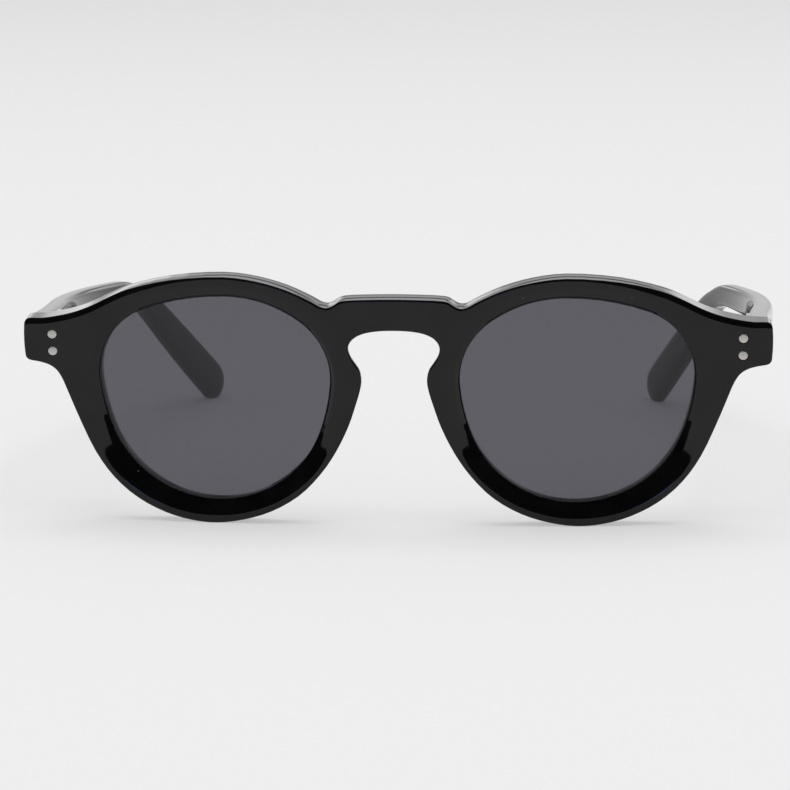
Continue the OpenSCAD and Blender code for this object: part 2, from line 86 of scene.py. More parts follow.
class Wire:
    """A number carried by a shader socket, whose sums add their own Math nodes."""

    def __init__(self, shade: "Shade", socket: bpy.types.NodeSocket) -> None:
        """Wraps a socket.

        Args:
            shade: The node tree that the socket belongs to.
            socket: The output that carries the number.
        """
        self.shade = shade
        self.socket = socket

    def _sum(self, operation: str, first: Any, second: Any) -> "Wire":
        """Adds one Math node.

        Args:
            operation: The Math node's operation.
            first: Its first input, a number or a Wire.
            second: Its second input, a number or a Wire.

        Returns:
            The node's output.
        """
        return self.shade.add("ShaderNodeMath", {"operation": operation}, {0: first, 1: second}).out()

    def __add__(self, other: Any) -> "Wire":
        """This number plus another."""
        return self._sum("ADD", self, other)

    def __radd__(self, other: Any) -> "Wire":
        """Another number plus this one."""
        return self._sum("ADD", other, self)

    def __sub__(self, other: Any) -> "Wire":
        """This number less another."""
        return self._sum("SUBTRACT", self, other)

    def __rsub__(self, other: Any) -> "Wire":
        """Another number less this one."""
        return self._sum("SUBTRACT", other, self)

    def __mul__(self, other: Any) -> "Wire":
        """This number times another."""
        return self._sum("MULTIPLY", self, other)

    def __rmul__(self, other: Any) -> "Wire":
        """Another number times this one."""
        return self._sum("MULTIPLY", other, self)

    def over(self, limit: Any) -> "Wire":
        """One where this number is over a limit, and otherwise nought."""
        return self._sum("GREATER_THAN", self, limit)

    def at_most(self, limit: Any) -> "Wire":
        """This number, or the limit where that is less."""
        return self._sum("MINIMUM", self, limit)

    def ramp(self, low: float, high: float, start: float = 0.0, end: float = 1.0) -> "Wire":
        """Maps a stretch of this number smoothly onto another stretch.

        Args:
            low: Where the stretch starts.
            high: Where it ends.
            start: The value at its start and before.
            end: The value at its end and after.

        Returns:
            The mapped number.
        """
        settings = {"interpolation_type": "SMOOTHSTEP"}
        inputs = {"Value": self, "From Min": low, "From Max": high, "To Min": start, "To Max": end}
        return self.shade.add("ShaderNodeMapRange", settings, inputs).out()


class Added:
    """A node that was just added to a tree."""

    def __init__(self, shade: "Shade", node: bpy.types.Node) -> None:
        """Wraps a node."""
        self.shade = shade
        self.node = node

    def out(self, name: str | int = 0) -> Wire:
        """One of the node's outputs, by name or place."""
        return Wire(self.shade, self.node.outputs[name])


class Shade:
    """The node tree of a material or of the world."""

    def __init__(self, owner: bpy.types.Material | bpy.types.World) -> None:
        """Empties the owner's node tree.

        Args:
            owner: The material or world to shade.
        """
        owner.use_nodes = True
        self.tree = owner.node_tree
        self.tree.nodes.clear()

    def add(self, kind: str, settings: dict[str, Any] | None = None,
            inputs: dict[str | int, Any] | None = None) -> Added:
        """Adds any node.

        Args:
            kind: The node's type.
            settings: Its properties, which are set first.
            inputs: Numbers, colours or Wires for its sockets, by name or place.

        Returns:
            The added node.
        """
        node = self.tree.nodes.new(kind)
        for name, value in (settings or {}).items():
            setattr(node, name, value)
        for name, value in (inputs or {}).items():
            if isinstance(value, Wire):
                self.tree.links.new(value.socket, node.inputs[name])
            else:
                node.inputs[name].default_value = value
        return Added(self, node)

    def place(self) -> Wire:
        """The point on the piece, in metres, in its own frame."""
        return self.add("ShaderNodeTexCoord").out("Object")

    def stretched(self, point: Wire, scale: Sequence[float], turn: Sequence[float] = (0, 0, 0)) -> Wire:
        """A point turned and scaled.

        Args:
            point: The point to change.
            scale: Scale along each axis.
            turn: Turn about each axis, in radians.

        Returns:
            The changed point.
        """
        inputs = {"Vector": point, "Scale": tuple(scale), "Rotation": tuple(turn)}
        return self.add("ShaderNodeMapping", {"vector_type": "POINT"}, inputs).out()

    def noise(self, point: Wire, scale: float, detail: float = 2.0, rough: float = 0.5) -> Wire:
        """Smooth noise from nought to one.

        Args:
            point: Where to read it.
            scale: Waves in a metre.
            detail: How many finer layers it has.
            rough: How strong these are.

        Returns:
            The noise's value.
        """
        inputs = {"Vector": point, "Scale": scale, "Detail": detail, "Roughness": rough}
        return self.add("ShaderNodeTexNoise", None, inputs).out(0)

    def mix(self, factor: Any, first: Any, second: Any) -> Wire:
        """Mixes two colours.

        Args:
            factor: How much of the second colour there is.
            first: A colour or a Wire.
            second: A colour or a Wire.

        Returns:
            The mixed colour.
        """
        return self.add("ShaderNodeMix", {"data_type": "RGBA"}, {0: factor, 6: first, 7: second}).out(2)

    def blend(self, factor: Any, first: Wire, second: Wire) -> Wire:
        """Mixes two shaders, as mix() mixes colours."""
        return self.add("ShaderNodeMixShader", None, {0: factor, 1: first, 2: second}).out()

    def gloss(self, inputs: dict[str | int, Any]) -> Wire:
        """A surface with these inputs of the usual shader."""
        return self.add("ShaderNodeBsdfPrincipled", None, inputs).out()

    def glow(self, colour: Any) -> Wire:
        """A surface that shines with a colour, at a strength of one."""
        return self.add("ShaderNodeEmission", None, {"Color": colour, "Strength": 1.0}).out()

    def axis(self, point: Wire, name: str) -> Wire:
        """A point's X, Y or Z."""
        return self.add("ShaderNodeSeparateXYZ", None, {"Vector": point}).out(name)

    def rays(self, *kinds: Ray) -> Wire:
        """Tells some kinds of ray from all others.

        Args:
            kinds: The kinds of ray.

        Returns:
            One for these rays, and otherwise nought.
        """
        path = self.add("ShaderNodeLightPath")
        total = path.out(kinds[0].value)
        for kind in kinds[1:]:
            total = total + path.out(kind.value)
        return total.at_most(1.0)

    def bump(self, height: Wire, depth: float, strength: float = 1.0, over: Wire | None = None) -> Wire:
        """A normal that follows a height.

        Args:
            height: The height, from nought to one.
            depth: How high one stands, in metres.
            strength: How much of it shows.
            over: A normal that it is laid over.

        Returns:
            The normal.
        """
        inputs = {"Strength": strength, "Distance": depth, "Height": height}
        if over is not None:
            inputs["Normal"] = over
        return self.add("ShaderNodeBump", None, inputs).out()

    def surface(self, shader: Wire) -> None:
        """Sets what the tree's surface is."""
        self.add("ShaderNodeOutputMaterial", None, {"Surface": shader})


def grey(value: float) -> Colour:
    """A plain grey."""
    return (value, value, value, 1.0)


@dataclass(frozen=True)
class Acetate:
    """Polished black cellulose acetate, with faint clouding, polishing lines and a few specks of dust."""

    name: str
    roughness: float = 0.045
    specular: float = 0.32
    index: float = 1.48
    deep: Colour = (0.0022, 0.0022, 0.0026, 1.0)
    pale: Colour = (0.0040, 0.0040, 0.0046, 1.0)
    cloud_waves: float = 140
    cloud_range: Span = (0.35, 0.65)
    cloud_roughness: float = 0.012
    line_waves: Triple = (2600, 300, 260)
    line_turn: Triple = (0, 0.5, 0.2)
    line_range: Span = (0.55, 0.8)
    line_roughness: float = 0.02
    line_depth: float = 2e-7
    line_strength: float = 0.5
    swell_waves: float = 75
    swell_depth: float = 7e-6
    dust: float = 0.4
    dust_cells: float = 260
    dust_size: Span = (0.05, 0.028)
    dust_patches: float = 90
    dust_over: float = 0.66
    dust_share: float = 0.22
    dust_roughness: float = 0.3

    def make(self) -> bpy.types.Material:
        """Builds the material.

        Returns:
            The material.
        """
        material = bpy.data.materials.new(self.name)
        shade = Shade(material)
        spot = shade.place()
        cloud = shade.noise(spot, self.cloud_waves, 3)
        lines = shade.noise(shade.stretched(spot, self.line_waves, self.line_turn), 1)
        cells = shade.add("ShaderNodeTexVoronoi", {"feature": "F1"},
                          {"Vector": spot, "Scale": self.dust_cells})
        dusty = shade.noise(spot, self.dust_patches, 0).over(self.dust_over)
        speck = cells.out("Distance").ramp(*self.dust_size) * dusty
        colour = shade.mix(cloud.ramp(*self.cloud_range), self.deep, self.pale)
        colour = shade.mix(speck * self.dust_share, colour, grey(self.dust))
        roughness = self.roughness + lines.ramp(*self.line_range) * self.line_roughness
        roughness = roughness + cloud * self.cloud_roughness + speck * self.dust_roughness
        swell = shade.bump(shade.noise(spot, self.swell_waves, 1), self.swell_depth)
        shade.surface(shade.gloss({
            "Base Color": colour, "Roughness": roughness, "IOR": self.index,
            "Specular IOR Level": self.specular,
            "Normal": shade.bump(lines, self.line_depth, self.line_strength, swell)}))
        return material


@dataclass(frozen=True)
class TintedLens:
    """Grey-violet tint in a hard clear lens, a little darker towards its top, with wiping marks in its
    gloss.
    """

    name: str
    through: Colour = (0.823, 0.809, 0.885, 1.0)
    body: Colour = (0.004, 0.004, 0.006, 1.0)
    cover: Span = (0.594, 0.602)
    cover_heights: Span = (0.005, 0.045)
    specular: float = 0.53
    index: float = 1.5
    wipe_waves: Triple = (300, 300, 60)
    wipe_turn: Triple = (0, 0.7, 0)
    wipe_cover: float = 0.006
    wipe_range: Span = (0.4, 0.8)
    roughness: Span = (0.012, 0.03)
    swell_waves: float = 40
    swell_depth: float = 2e-6

    def make(self) -> bpy.types.Material:
        """Builds the material.

        Returns:
            The material.
        """
        material = bpy.data.materials.new(self.name)
        shade = Shade(material)
        spot = shade.place()
        wiped = shade.noise(shade.stretched(spot, self.wipe_waves, self.wipe_turn), 1, 3)
        # The cover grows with height, so the lens is a little darker towards its top.
        cover = shade.axis(spot, "Z").ramp(*self.cover_heights, *self.cover) + wiped * self.wipe_cover
        gloss = shade.gloss({
            "Base Color": self.body, "Roughness": wiped.ramp(*self.wipe_range, *self.roughness),
            "IOR": self.index, "Specular IOR Level": self.specular,
            "Normal": shade.bump(shade.noise(spot, self.swell_waves, 0), self.swell_depth)})
        tint = shade.add("ShaderNodeBsdfTransparent", None, {"Color": self.through}).out()
        shade.surface(shade.blend(cover, tint, gloss))
        return material


@dataclass(frozen=True)
class Metal:
    """Satin metal with a brushed grain, and a little tarnish in random patches."""

    name: str
    colour: Colour
    roughness: float
    grain_waves: Triple
    grain_roughness: float = 0.12
    grain_depth: float = 2e-6
    grain_strength: float = 0.6
    stain_waves: float = 900
    stain_range: Span = (0.5, 0.8)
    stain_share: float = 0.5
    stain_dark: float = 0.62

    def make(self) -> bpy.types.Material:
        """Builds the material.

        Returns:
            The material.
        """
        material = bpy.data.materials.new(self.name)
        shade = Shade(material)
        spot = shade.place()
        grain = shade.noise(shade.stretched(spot, self.grain_waves), 1)
        stain = shade.noise(spot, self.stain_waves, 3).ramp(*self.stain_range)
        dark = tuple(self.stain_dark * part for part in self.colour[:3]) + (1.0,)
        shade.surface(shade.gloss({
            "Base Color": shade.mix(stain * self.stain_share, self.colour, dark), "Metallic": 1.0,
            "Roughness": self.roughness + (grain - 0.5) * self.grain_roughness,
            "Normal": shade.bump(grain, self.grain_depth, self.grain_strength)}))
        return material


@dataclass
class Finishes:
    """The finishes of the glasses, by the record's slot."""

    made: dict[str, bpy.types.Material] = field(default_factory=dict)

    def make(self) -> None:
        """Builds every finish once."""
        kinds = (
            Acetate("black_acetate"),
            Acetate("pad_acetate", roughness=0.16),
            TintedLens("lens_tint"),
            Metal("hinge_steel", (0.66, 0.64, 0.61, 1.0), 0.28, (9000, 900, 9000)),
            Metal("rivet_steel", (0.60, 0.575, 0.54, 1.0), 0.38, (5000, 5000, 5000)),
            Metal("core_wire", (0.55, 0.55, 0.56, 1.0), 0.3, (6000, 400, 6000)))
        for kind in kinds:
            self.made[kind.name] = kind.make()
            log.info("finish %s is mixed", kind.name)


@dataclass
class Workshop:
    """Makes pieces out of points and faces, and hands them to the frame."""

    finishes: Finishes
    flat_turn: float = math.radians(1)
    edge_turn: float = 0.6
    edge_rows: int = 2
    edge_crease: float = 20.0
    turned_crease: float = 50.0
    turned_steps: int = 48

    def piece(self, name: str, points: np.ndarray, faces: Sequence[Sequence[int]], slot: str,
              body: str, nodes: Sequence[str], crease: float = 35.0) -> bpy.types.Object:
        """Makes one piece of the glasses.

        Args:
            name: The piece's name.
            points: Its points, in millimetres, in the object's frame.
            faces: Its faces, as numbers of points.
            slot: The material slot that it takes its finish from.
            body: The body that it moves with.
            nodes: The construction's nodes that it stands for.
            crease: Edges that turn more than this, in degrees, stay sharp.

        Returns:
            The piece.
        """
        return self.dress(solid(name, points, faces), name, slot, body, nodes, crease)

    def dress(self, mesh: bpy.types.Mesh, name: str, slot: str, body: str, nodes: Sequence[str],
              crease: float) -> bpy.types.Object:
        """Gives a mesh its object, finish, body and nodes.

        Args:
            mesh: The piece's mesh.
            name: The piece's name.
            slot: The material slot that it takes its finish from.
            body: The body that it moves with.
            nodes: The construction's nodes that it stands for.
            crease: Edges that turn more than this, in degrees, stay sharp.

        Returns:
            The piece.
        """
        mesh.shade_smooth()
        mesh.set_sharp_from_angle(angle=math.radians(crease))
        mesh.materials.clear()
        mesh.materials.append(self.finishes.made[slot])
        thing = set_out(name, mesh)
        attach(thing, body)
        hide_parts(*nodes)
        log.info("%s: %d points, on %s, in %s", name, len(mesh.vertices), body, slot)
        return thing

    def bevelled(self, node: str, slot: str, body: str, width: float) -> bpy.types.Object:
        """Makes a piece with softened edges out of a node of the construction.

        Args:
            node: The node.
            slot: The material slot of the piece.
            body: The body that it moves with.
            width: Width of the softened edges, in millimetres.

        Returns:
            The piece.
        """
        name = node + "_piece"
        work = bmesh.new()
        work.from_mesh(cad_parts[node].data)
        bmesh.ops.remove_doubles(work, verts=work.verts, dist=WELD)
        bmesh.ops.dissolve_limit(work, angle_limit=self.flat_turn, verts=work.verts, edges=work.edges)
        sharp = [edge for edge in work.edges
                 if len(edge.link_faces) == 2 and edge.calc_face_angle() > self.edge_turn]
        bmesh.ops.bevel(work, geom=sharp, offset=width * MM, segments=self.edge_rows, affect="EDGES",
                        profile=0.5, clamp_overlap=True)
        mesh = bpy.data.meshes.new(name)
        work.to_mesh(mesh)
        work.free()
        return self.dress(mesh, name, slot, body, [node], self.edge_crease)

    def turned(self, name: str, profile: Sequence[Span], place: Matrix, slot: str, body: str,
               nodes: Sequence[str]) -> bpy.types.Object:
        """Makes a turned piece.

        Args:
            name: The piece's name.
            profile: Radius and height of its outline, in millimetres, from end to end.
            place: Takes its axis from +Z to where it lies, in millimetres.
            slot: The material slot.
            body: The body that it moves with.
            nodes: The nodes that it stands for.

        Returns:
            The piece.
        """
        steps = self.turned_steps
        turns = around(steps)
        rings = [np.stack([r * np.cos(turns), r * np.sin(turns), np.full(steps, h)], 1) for r, h in profile]
        points, faces = closed(rings, (0, 0, profile[0][1]), (0, 0, profile[-1][1]))
        return self.piece(name, moved(points, place), faces, slot, body, nodes, self.turned_crease)


def set_out(name: str, data: bpy.types.ID) -> bpy.types.Object:
    """Puts a new object into the scene.

    Args:
        name: The object's name.
        data: Its mesh, lamp or camera.

    Returns:
        The object.
    """
    thing = bpy.data.objects.new(name, data)
    bpy.context.scene.collection.objects.link(thing)
    return thing


def solid(name: str, points: np.ndarray, faces: Sequence[Sequence[int]]) -> bpy.types.Mesh:
    """Makes a mesh whose faces all look outward.

    Args:
        name: The mesh's name.
        points: Its points, in millimetres.
        faces: Its faces, as numbers of points.

    Returns:
        The mesh, in metres.
    """
    mesh = bpy.data.meshes.new(name)
    mesh.from_pydata((np.asarray(points) * MM).tolist(), [], [tuple(face) for face in faces])
    work = bmesh.new()
    work.from_mesh(mesh)
    bmesh.ops.remove_doubles(work, verts=work.verts, dist=WELD)
    bmesh.ops.recalc_face_normals(work, faces=work.faces)
    work.to_mesh(mesh)
    work.free()
    return mesh


def smooth(value: np.ndarray | float, low: float, high: float) -> np.ndarray:
    """Nought below a low value and one above a high one, with a smooth step between."""
    share = np.clip((value - low) / (high - low), 0, 1)
    return share * share * (3 - 2 * share)


def moved(points: np.ndarray, place: Matrix) -> np.ndarray:
    """Points taken through a matrix."""
    turn = np.array(place)
    return points @ turn[:3, :3].T + turn[:3, 3]


def raised(flat: np.ndarray, depth: float | np.ndarray) -> np.ndarray:
    """Points in X and Z set at a depth, which is one for all of them or one for each."""
    return np.stack([flat[:, 0], np.broadcast_to(depth, len(flat)), flat[:, 1]], 1)


def around(steps: int, shift: float = 0.0) -> np.ndarray:
    """Even angles round a full turn, in radians, shifted by a share of a step."""
    return (np.arange(steps) + shift) * 2 * math.pi / steps


def strips(rings: Sequence[Sequence[int]]) -> list[Face]:
    """Four-sided faces between closed rings of points.

    Args:
        rings: Numbers of the points of each ring, all as many.

    Returns:
        The faces.
    """
    faces = []
    for low, high in zip(rings, rings[1:]):
        size = len(low)
        for j in range(size):
            k = (j + 1) % size
            faces.append((low[j], low[k], high[k], high[j]))
    return faces


def closed(rings: Sequence[np.ndarray], start: Sequence[float],
           end: Sequence[float]) -> tuple[np.ndarray, list[Face]]:
    """Joins rings of points into a solid whose two ends close on a point.

    Args:
        rings: The points of each ring, all as many.
        start: The point that closes the first ring.
        end: The point that closes the last ring.

    Returns:
        The solid's points and faces.
    """
    size = len(rings[0])
    last = (len(rings) - 1) * size
    faces = strips([range(i * size, (i + 1) * size) for i in range(len(rings))])
    for j in range(size):
        k = (j + 1) % size
        faces.append((k, j, last + size))
        faces.append((last + j, last + k, last + size + 1))
    return np.concatenate([*rings, [start, end]]), faces


@dataclass
class Loop:
    """A closed line in the plane of the front, as points in order."""

    points: np.ndarray

    def turned_left(self) -> "Loop":
        """Turns the line so that it runs anticlockwise.

        Returns:
            The line itself, or the line reversed.
        """
        x, z = self.points[:, 0], self.points[:, 1]
        area = np.sum(x * np.roll(z, -1) - z * np.roll(x, -1))
        return self if area > 0 else Loop(self.points[::-1])

    def even(self, step: float, smoothing: int) -> "Loop":
        """Smooths the line and spaces its points evenly.

        Args:
            step: Distance between two points, about.
            smoothing: How many times its points are drawn to the middle of their neighbours.

        Returns:
            The new line.
        """
        dense = self.rounded()
        length = np.concatenate([[0], np.cumsum(np.linalg.norm(np.roll(dense, -1, 0) - dense, axis=1))])
        fewest = 12
        count = max(fewest, round(length[-1] / step))
        at = np.arange(count) * length[-1] / count
        ring = np.concatenate([dense, dense[:1]])
        points = np.stack([np.interp(at, length, ring[:, axis]) for axis in range(ring.shape[1])], 1)
        # Each pull inward is followed by one outward, so that the line keeps its size.
        for pull in (0.5, -0.51) * smoothing:
            points = points + pull * ((np.roll(points, 1, 0) + np.roll(points, -1, 0)) / 2 - points)
        return Loop(points)

    def rounded(self, parts: int = 8) -> np.ndarray:
        """Draws a smooth curve through the line's points.

        Args:
            parts: How many points stand for each stretch between two of the line's.

        Returns:
            The curve's points.
        """
        k = self.points
        before, after, beyond = np.roll(k, 1, 0), np.roll(k, -1, 0), np.roll(k, -2, 0)
        gap = np.sqrt(np.linalg.norm(after - k, axis=1) + 1e-9)
        gap_before, gap_after = np.roll(gap, 1), np.roll(gap, -1)
        stretches = []
        for share in np.arange(parts) / parts:
            t = gap * share
            one = k + (k - before) * (t / gap_before)[:, None]
            two = k + (after - k) * (t / gap)[:, None]
            three = after + (beyond - after) * ((t - gap) / gap_after)[:, None]
            left = one + (two - one) * ((t + gap_before) / (gap_before + gap))[:, None]
            right = two + (three - two) * (t / (gap + gap_after))[:, None]
            stretches.append(left + (right - left) * share)
        return np.stack(stretches, 1).reshape(-1, k.shape[1])

    def outward(self) -> np.ndarray:
        """Finds the way out of the line, which runs anticlockwise.

        Returns:
            A unit vector for each point, in X and Z.
        """
        along = np.roll(self.points, -1, 0)[:, :2] - np.roll(self.points, 1, 0)[:, :2]
        along /= np.linalg.norm(along, axis=1)[:, None]
        return np.stack([along[:, 1], -along[:, 0]], 1)

    def grown(self, amount: float | np.ndarray) -> np.ndarray:
        """Moves the line's points outward.

        Args:
            amount: How far all of them go, or each by its own.

        Returns:
            The moved points.
        """
        points = self.points.copy()
        points[:, :2] += self.outward() * np.reshape(amount, (-1, 1))
        return points

    def nearest(self, spots: np.ndarray, at_once: int = 4000) -> np.ndarray:
        """Finds the line's point that is nearest to each spot.

        Args:
            spots: Points in X and Z.
            at_once: How many spots are compared in one step.

        Returns:
            The number of the point, for each spot.
        """
        line = self.points[:, :2]
        found = []
        for start in range(0, len(spots), at_once):
            gap = spots[start:start + at_once, None, :] - line[None, :, :]
            found.append(np.argmin(np.einsum("ijk,ijk->ij", gap, gap), 1))
        return np.concatenate(found)

    def distance(self, spots: np.ndarray) -> np.ndarray:
        """Distance of spots to the line.

        Args:
            spots: Points in X and Z.

        Returns:
            One distance for each.
        """
        line = self.points[:, :2]
        near = self.nearest(spots)
        best = np.full(len(spots), np.inf)
        for shift in (-1, 0):
            a, b = line[(near + shift) % len(line)], line[(near + shift + 1) % len(line)]
            way = b - a
            share = np.clip(np.sum((spots - a) * way, 1) / np.sum(way * way, 1), 0, 1)
            best = np.minimum(best, np.linalg.norm(spots - a - way * share[:, None], axis=1))
        return best

    def holds(self, spots: np.ndarray) -> np.ndarray:
        """Whether spots lie inside the line.

        Args:
            spots: Points in X and Z.

        Returns:
            True or False for each.
        """
        inside = np.zeros(len(spots), bool)
        line = self.points[:, :2]
        for (x0, z0), (x1, z1) in zip(line, np.roll(line, -1, 0)):
            if z0 != z1:
                cross = (z0 > spots[:, 1]) != (z1 > spots[:, 1])
                inside ^= cross & (spots[:, 0] < x0 + (x1 - x0) * (spots[:, 1] - z0) / (z1 - z0))
        return inside


@dataclass
class Stance:
    """How the front stands on the table: it leans forward, on its two rims."""

    lean: float = math.radians(6)
    back: float = -67.906
    up: float = -0.137

    def matrix(self) -> Matrix:
        """Takes the front's own frame to the object's, in millimetres."""
        return Matrix.Translation((0, self.back, self.up)) @ Matrix.Rotation(self.lean, 4, "X")

    def home(self, points: np.ndarray) -> np.ndarray:
        """Points of the object in the front's own frame."""
        return moved(points, self.matrix().inverted())

    def world(self, points: np.ndarray) -> np.ndarray:
        """Points of the front's own frame in the object's."""
        return moved(points, self.matrix())


@dataclass
class Eye:
    """The place of one lens in the front: its opening, seen square on."""

    side: Side
    centre: Triple
    turn: float
    opening: Loop

    def outline(self, grow: float, depth: float) -> np.ndarray:
        """The opening's outline, grown and set at a depth, in the front's own frame."""
        return self.out(raised(self.opening.grown(grow), depth))

    def matrix(self) -> Matrix:
        """Takes the eye's own frame to the front's."""
        return Matrix.Translation(self.centre) @ Matrix.Rotation(self.turn * self.side.value, 4, "Z")

    def out(self, points: np.ndarray) -> np.ndarray:
        """Points of the eye's own frame in the front's."""
        return moved(points, self.matrix())

    def into(self, points: np.ndarray) -> np.ndarray:
        """Points of the front's own frame in the eye's."""
        return moved(points, self.matrix().inverted())


@dataclass
class Front:
    """The front: two rims, the bridge and the endpieces, cut from one curved sheet.

    Its own frame has the face at Y = 0 in the middle, and Y grows towards the back. A pair of values
    named over, facing, beside, low, top or ends is where a shape starts to change and where it has.
    """

    shop: Workshop
    stance: Stance
    wrap_radius: float = 480.0
    thickness: float = 5.2
    end_back: float = 10.2
    eye_x: float = 35.5
    eye_z: float = 29.5
    fullness: float = 0.2
    fullness_over: Span = (0.5, 8.0)
    crown: float = 0.12
    crown_facing: Span = (0.3, 0.8)
    crown_ends: Span = (48.0, 58.0)
    brow_bevel: float = 1.25
    rim_bevel: float = 0.4
    brow_over: Span = (36.0, 56.0)
    bevel_facing: Span = (0.2, 0.8)
    bevel_slant: float = 0.7
    bevel_start: float = 0.02
    back_round: float = 0.5
    end_round: float = 0.1
    end_over: Span = (58.0, 63.0)
    hole_round: float = 0.12
    lip_round: float = 0.22
    rim_back_round: float = 0.5
    nose_width: float = 1.6
    nose_depth: float = 4.3
    nose_beside: Span = (12.0, 16.0)
    nose_low: Span = (8.0, 14.0)
    nose_top: Span = (41.0, 43.0)
    dish_beside: float = 4.6
    dish_above: float = 2.5
    dish_shift: float = 0.5
    dish_depth: float = 2.0
    dish_low: float = 2.5
    dish_top: float = 1.8
    dish_over: Span = (-2.0, 12.0)
    dish_reach: float = 34.0
    ridge_soft: float = 0.14
    ridge_reach: float = 3.0
    scoop_slope: float = 0.84
    scoop_lip: float = 1.6
    scoop_over: Span = (0.70, 0.80)
    groove: Span = (2.7, 3.7)
    groove_depth: float = 0.7
    groove_slant: float = 0.05
    wall_skin: float = 0.04
    wall_reach: float = 3.0
    wall_shares: tuple[float, ...] = (0.04, 0.1, 0.18, 0.27, 0.36, 0.45, 0.55, 0.64, 0.73, 0.82, 0.9, 0.96)
    hole_shares: tuple[float, ...] = (0.02, 0.5, 0.98)
    read_steps: float = 2e3
    read_facing: float = 0.3
    read_slack: float = 0.3
    outline_step: float = 0.42
    hole_step: float = 0.18
    bevel_rings: tuple[float, ...] = (6, 12, 19, 27, 36, 45, 54, 63, 72, 81, 90)
    bevel_slack: float = 0.015
    lip_rings: tuple[float, ...] = (0.03, 0.08, 0.15, 0.22, 0.3, 0.4, 0.52, 0.66, 0.82)
    dish_rings: Span = (1.0, 5.2)
    dish_step: float = 0.28
    dish_clear: float = 0.12
    hole_rings: tuple[float, ...] = (0.03, 0.08, 0.14, 0.3)
    hole_clear: float = 0.6
    grid_step: float = 0.85
    row_share: float = 0.87
    grid_clear: float = 0.3
    crease: float = 40.0
    silhouette: Loop = field(init=False)
    rise: np.ndarray = field(init=False)
    outline: Loop = field(init=False)
    eyes: dict[Side, Eye] = field(init=False)
    holes: list[Loop] = field(init=False)

    def wrap(self, x: np.ndarray) -> np.ndarray:
        """Depth of the curved face at each X."""
        return self.wrap_radius - np.sqrt(self.wrap_radius ** 2 - x ** 2)

    def back(self, x: np.ndarray) -> np.ndarray:
        """Depth of the curved back at each X, with the flats of the endpieces."""
        radius = self.wrap_radius - self.thickness
        return np.minimum(self.wrap_radius - np.sqrt(radius ** 2 - x ** 2), self.end_back)

    def read(self) -> None:
        """Reads the outlines of the face, its openings and rivet holes from the construction."""
        loops = self.chained(*self.face_edges())
        loops.sort(key=lambda loop: -np.linalg.norm(np.roll(loop.points, 1, 0) - loop.points, axis=1).sum())
        cut = loops[0].even(self.outline_step, 1)
        self.silhouette = Loop(cut.grown(self.fullness * smooth(cut.points[:, 1], *self.fullness_over)))
        self.rise = self.crown * smooth(self.silhouette.outward()[:, 1], *self.crown_facing)
        self.rise *= 1 - smooth(np.abs(self.silhouette.points[:, 0]), *self.crown_ends)
        self.outline = Loop(self.silhouette.grown(-self.rise / 2))
        turn = math.asin(self.eye_x / self.wrap_radius)
        self.eyes = {}
        for loop in loops[1:3]:
            side = Side.LEFT if loop.points[:, 0].mean() > 0 else Side.RIGHT
            centre = (self.eye_x * side.value, self.wrap(self.eye_x), self.eye_z)
            eye = Eye(side, centre, turn, loop)
            flat = eye.into(loop.points[:, [0, 2, 1]])
            eye.opening = Loop(flat[:, [0, 2]]).turned_left().even(self.outline_step, 1)
            self.eyes[side] = eye
        self.holes = [loop.even(self.hole_step, 2) for loop in loops[3:7]]

    def face_edges(self) -> tuple[dict[tuple[int, int], int], np.ndarray]:
        """Finds the edges where the face of the construction's front ends.

        Returns:
            The edges, as pairs of points that run the same way round, and the construction's points
            in the front's own frame.
        """
        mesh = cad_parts["front"].data
        mesh.calc_loop_triangles()
        corners = np.array([v.co for v in mesh.vertices], float).reshape(-1, 3) / MM
        local = self.stance.home(corners)
        keys: dict[Face, int] = {}
        same = [keys.setdefault(tuple(np.round(p * self.read_steps).astype(int)), i)
                for i, p in enumerate(local)]
        edges: dict[tuple[int, int], int] = {}
        for triangle in mesh.loop_triangles:
            a, b, c = (same[i] for i in triangle.vertices)
            if len({a, b, c}) < 3:
                continue
            middle = (local[a] + local[b] + local[c]) / 3
            normal = np.cross(local[b] - local[a], local[c] - local[a])
            facing = -normal[1] / (np.linalg.norm(normal) + 1e-12)
            sunk = middle[1] - self.wrap(middle[0])
            if facing > self.read_facing and sunk < self.dish_depth + self.read_slack:
                for edge in ((a, b), (b, c), (c, a)):
                    if edge[::-1] in edges:
                        del edges[edge[::-1]]
                    else:
                        edges[edge] = 1
        return edges, local

    def chained(self, edges: dict[tuple[int, int], int], local: np.ndarray) -> list[Loop]:
        """Chains edges into closed lines.

        Args:
            edges: The edges, as pairs of points that run the same way round.
            local: The points, in the front's own frame.

        Returns:
            The lines, each with X, Z and depth.
        """
        after = {a: b for a, b in edges}
        loops = []
        while after:
            start, here = after.popitem()
            chain = [start]
            while here != start:
                chain.append(here)
                here = after.pop(here)
            loops.append(Loop(local[chain][:, [0, 2, 1]]).turned_left())
        return loops

    def lip(self, eye: Eye) -> Loop:
        """The lip of an opening, in X and Z of the front's own frame."""
        return Loop(eye.outline(0, self.dish_depth)[:, [0, 2]])

    def ridge(self, eye: Eye) -> Loop:
        """Draws the ridge where the dish round an opening starts.

        Args:
            eye: The opening.

        Returns:
            The ridge, in X and Z of the eye's own frame.
        """
        opening = eye.opening.points
        half = (opening[:, 0].max() - opening[:, 0].min()) / 2
        tall = (opening[:, 1].max() - opening[:, 1].min()) / 2
        middle = np.array([-self.dish_shift * half / self.dish_beside * eye.side.value,
                           (opening[:, 1].max() + opening[:, 1].min()) / 2])
        scale = np.array([1 + self.dish_beside / half, 1 + self.dish_above / tall])
        return Loop(middle + (opening - middle) * scale)

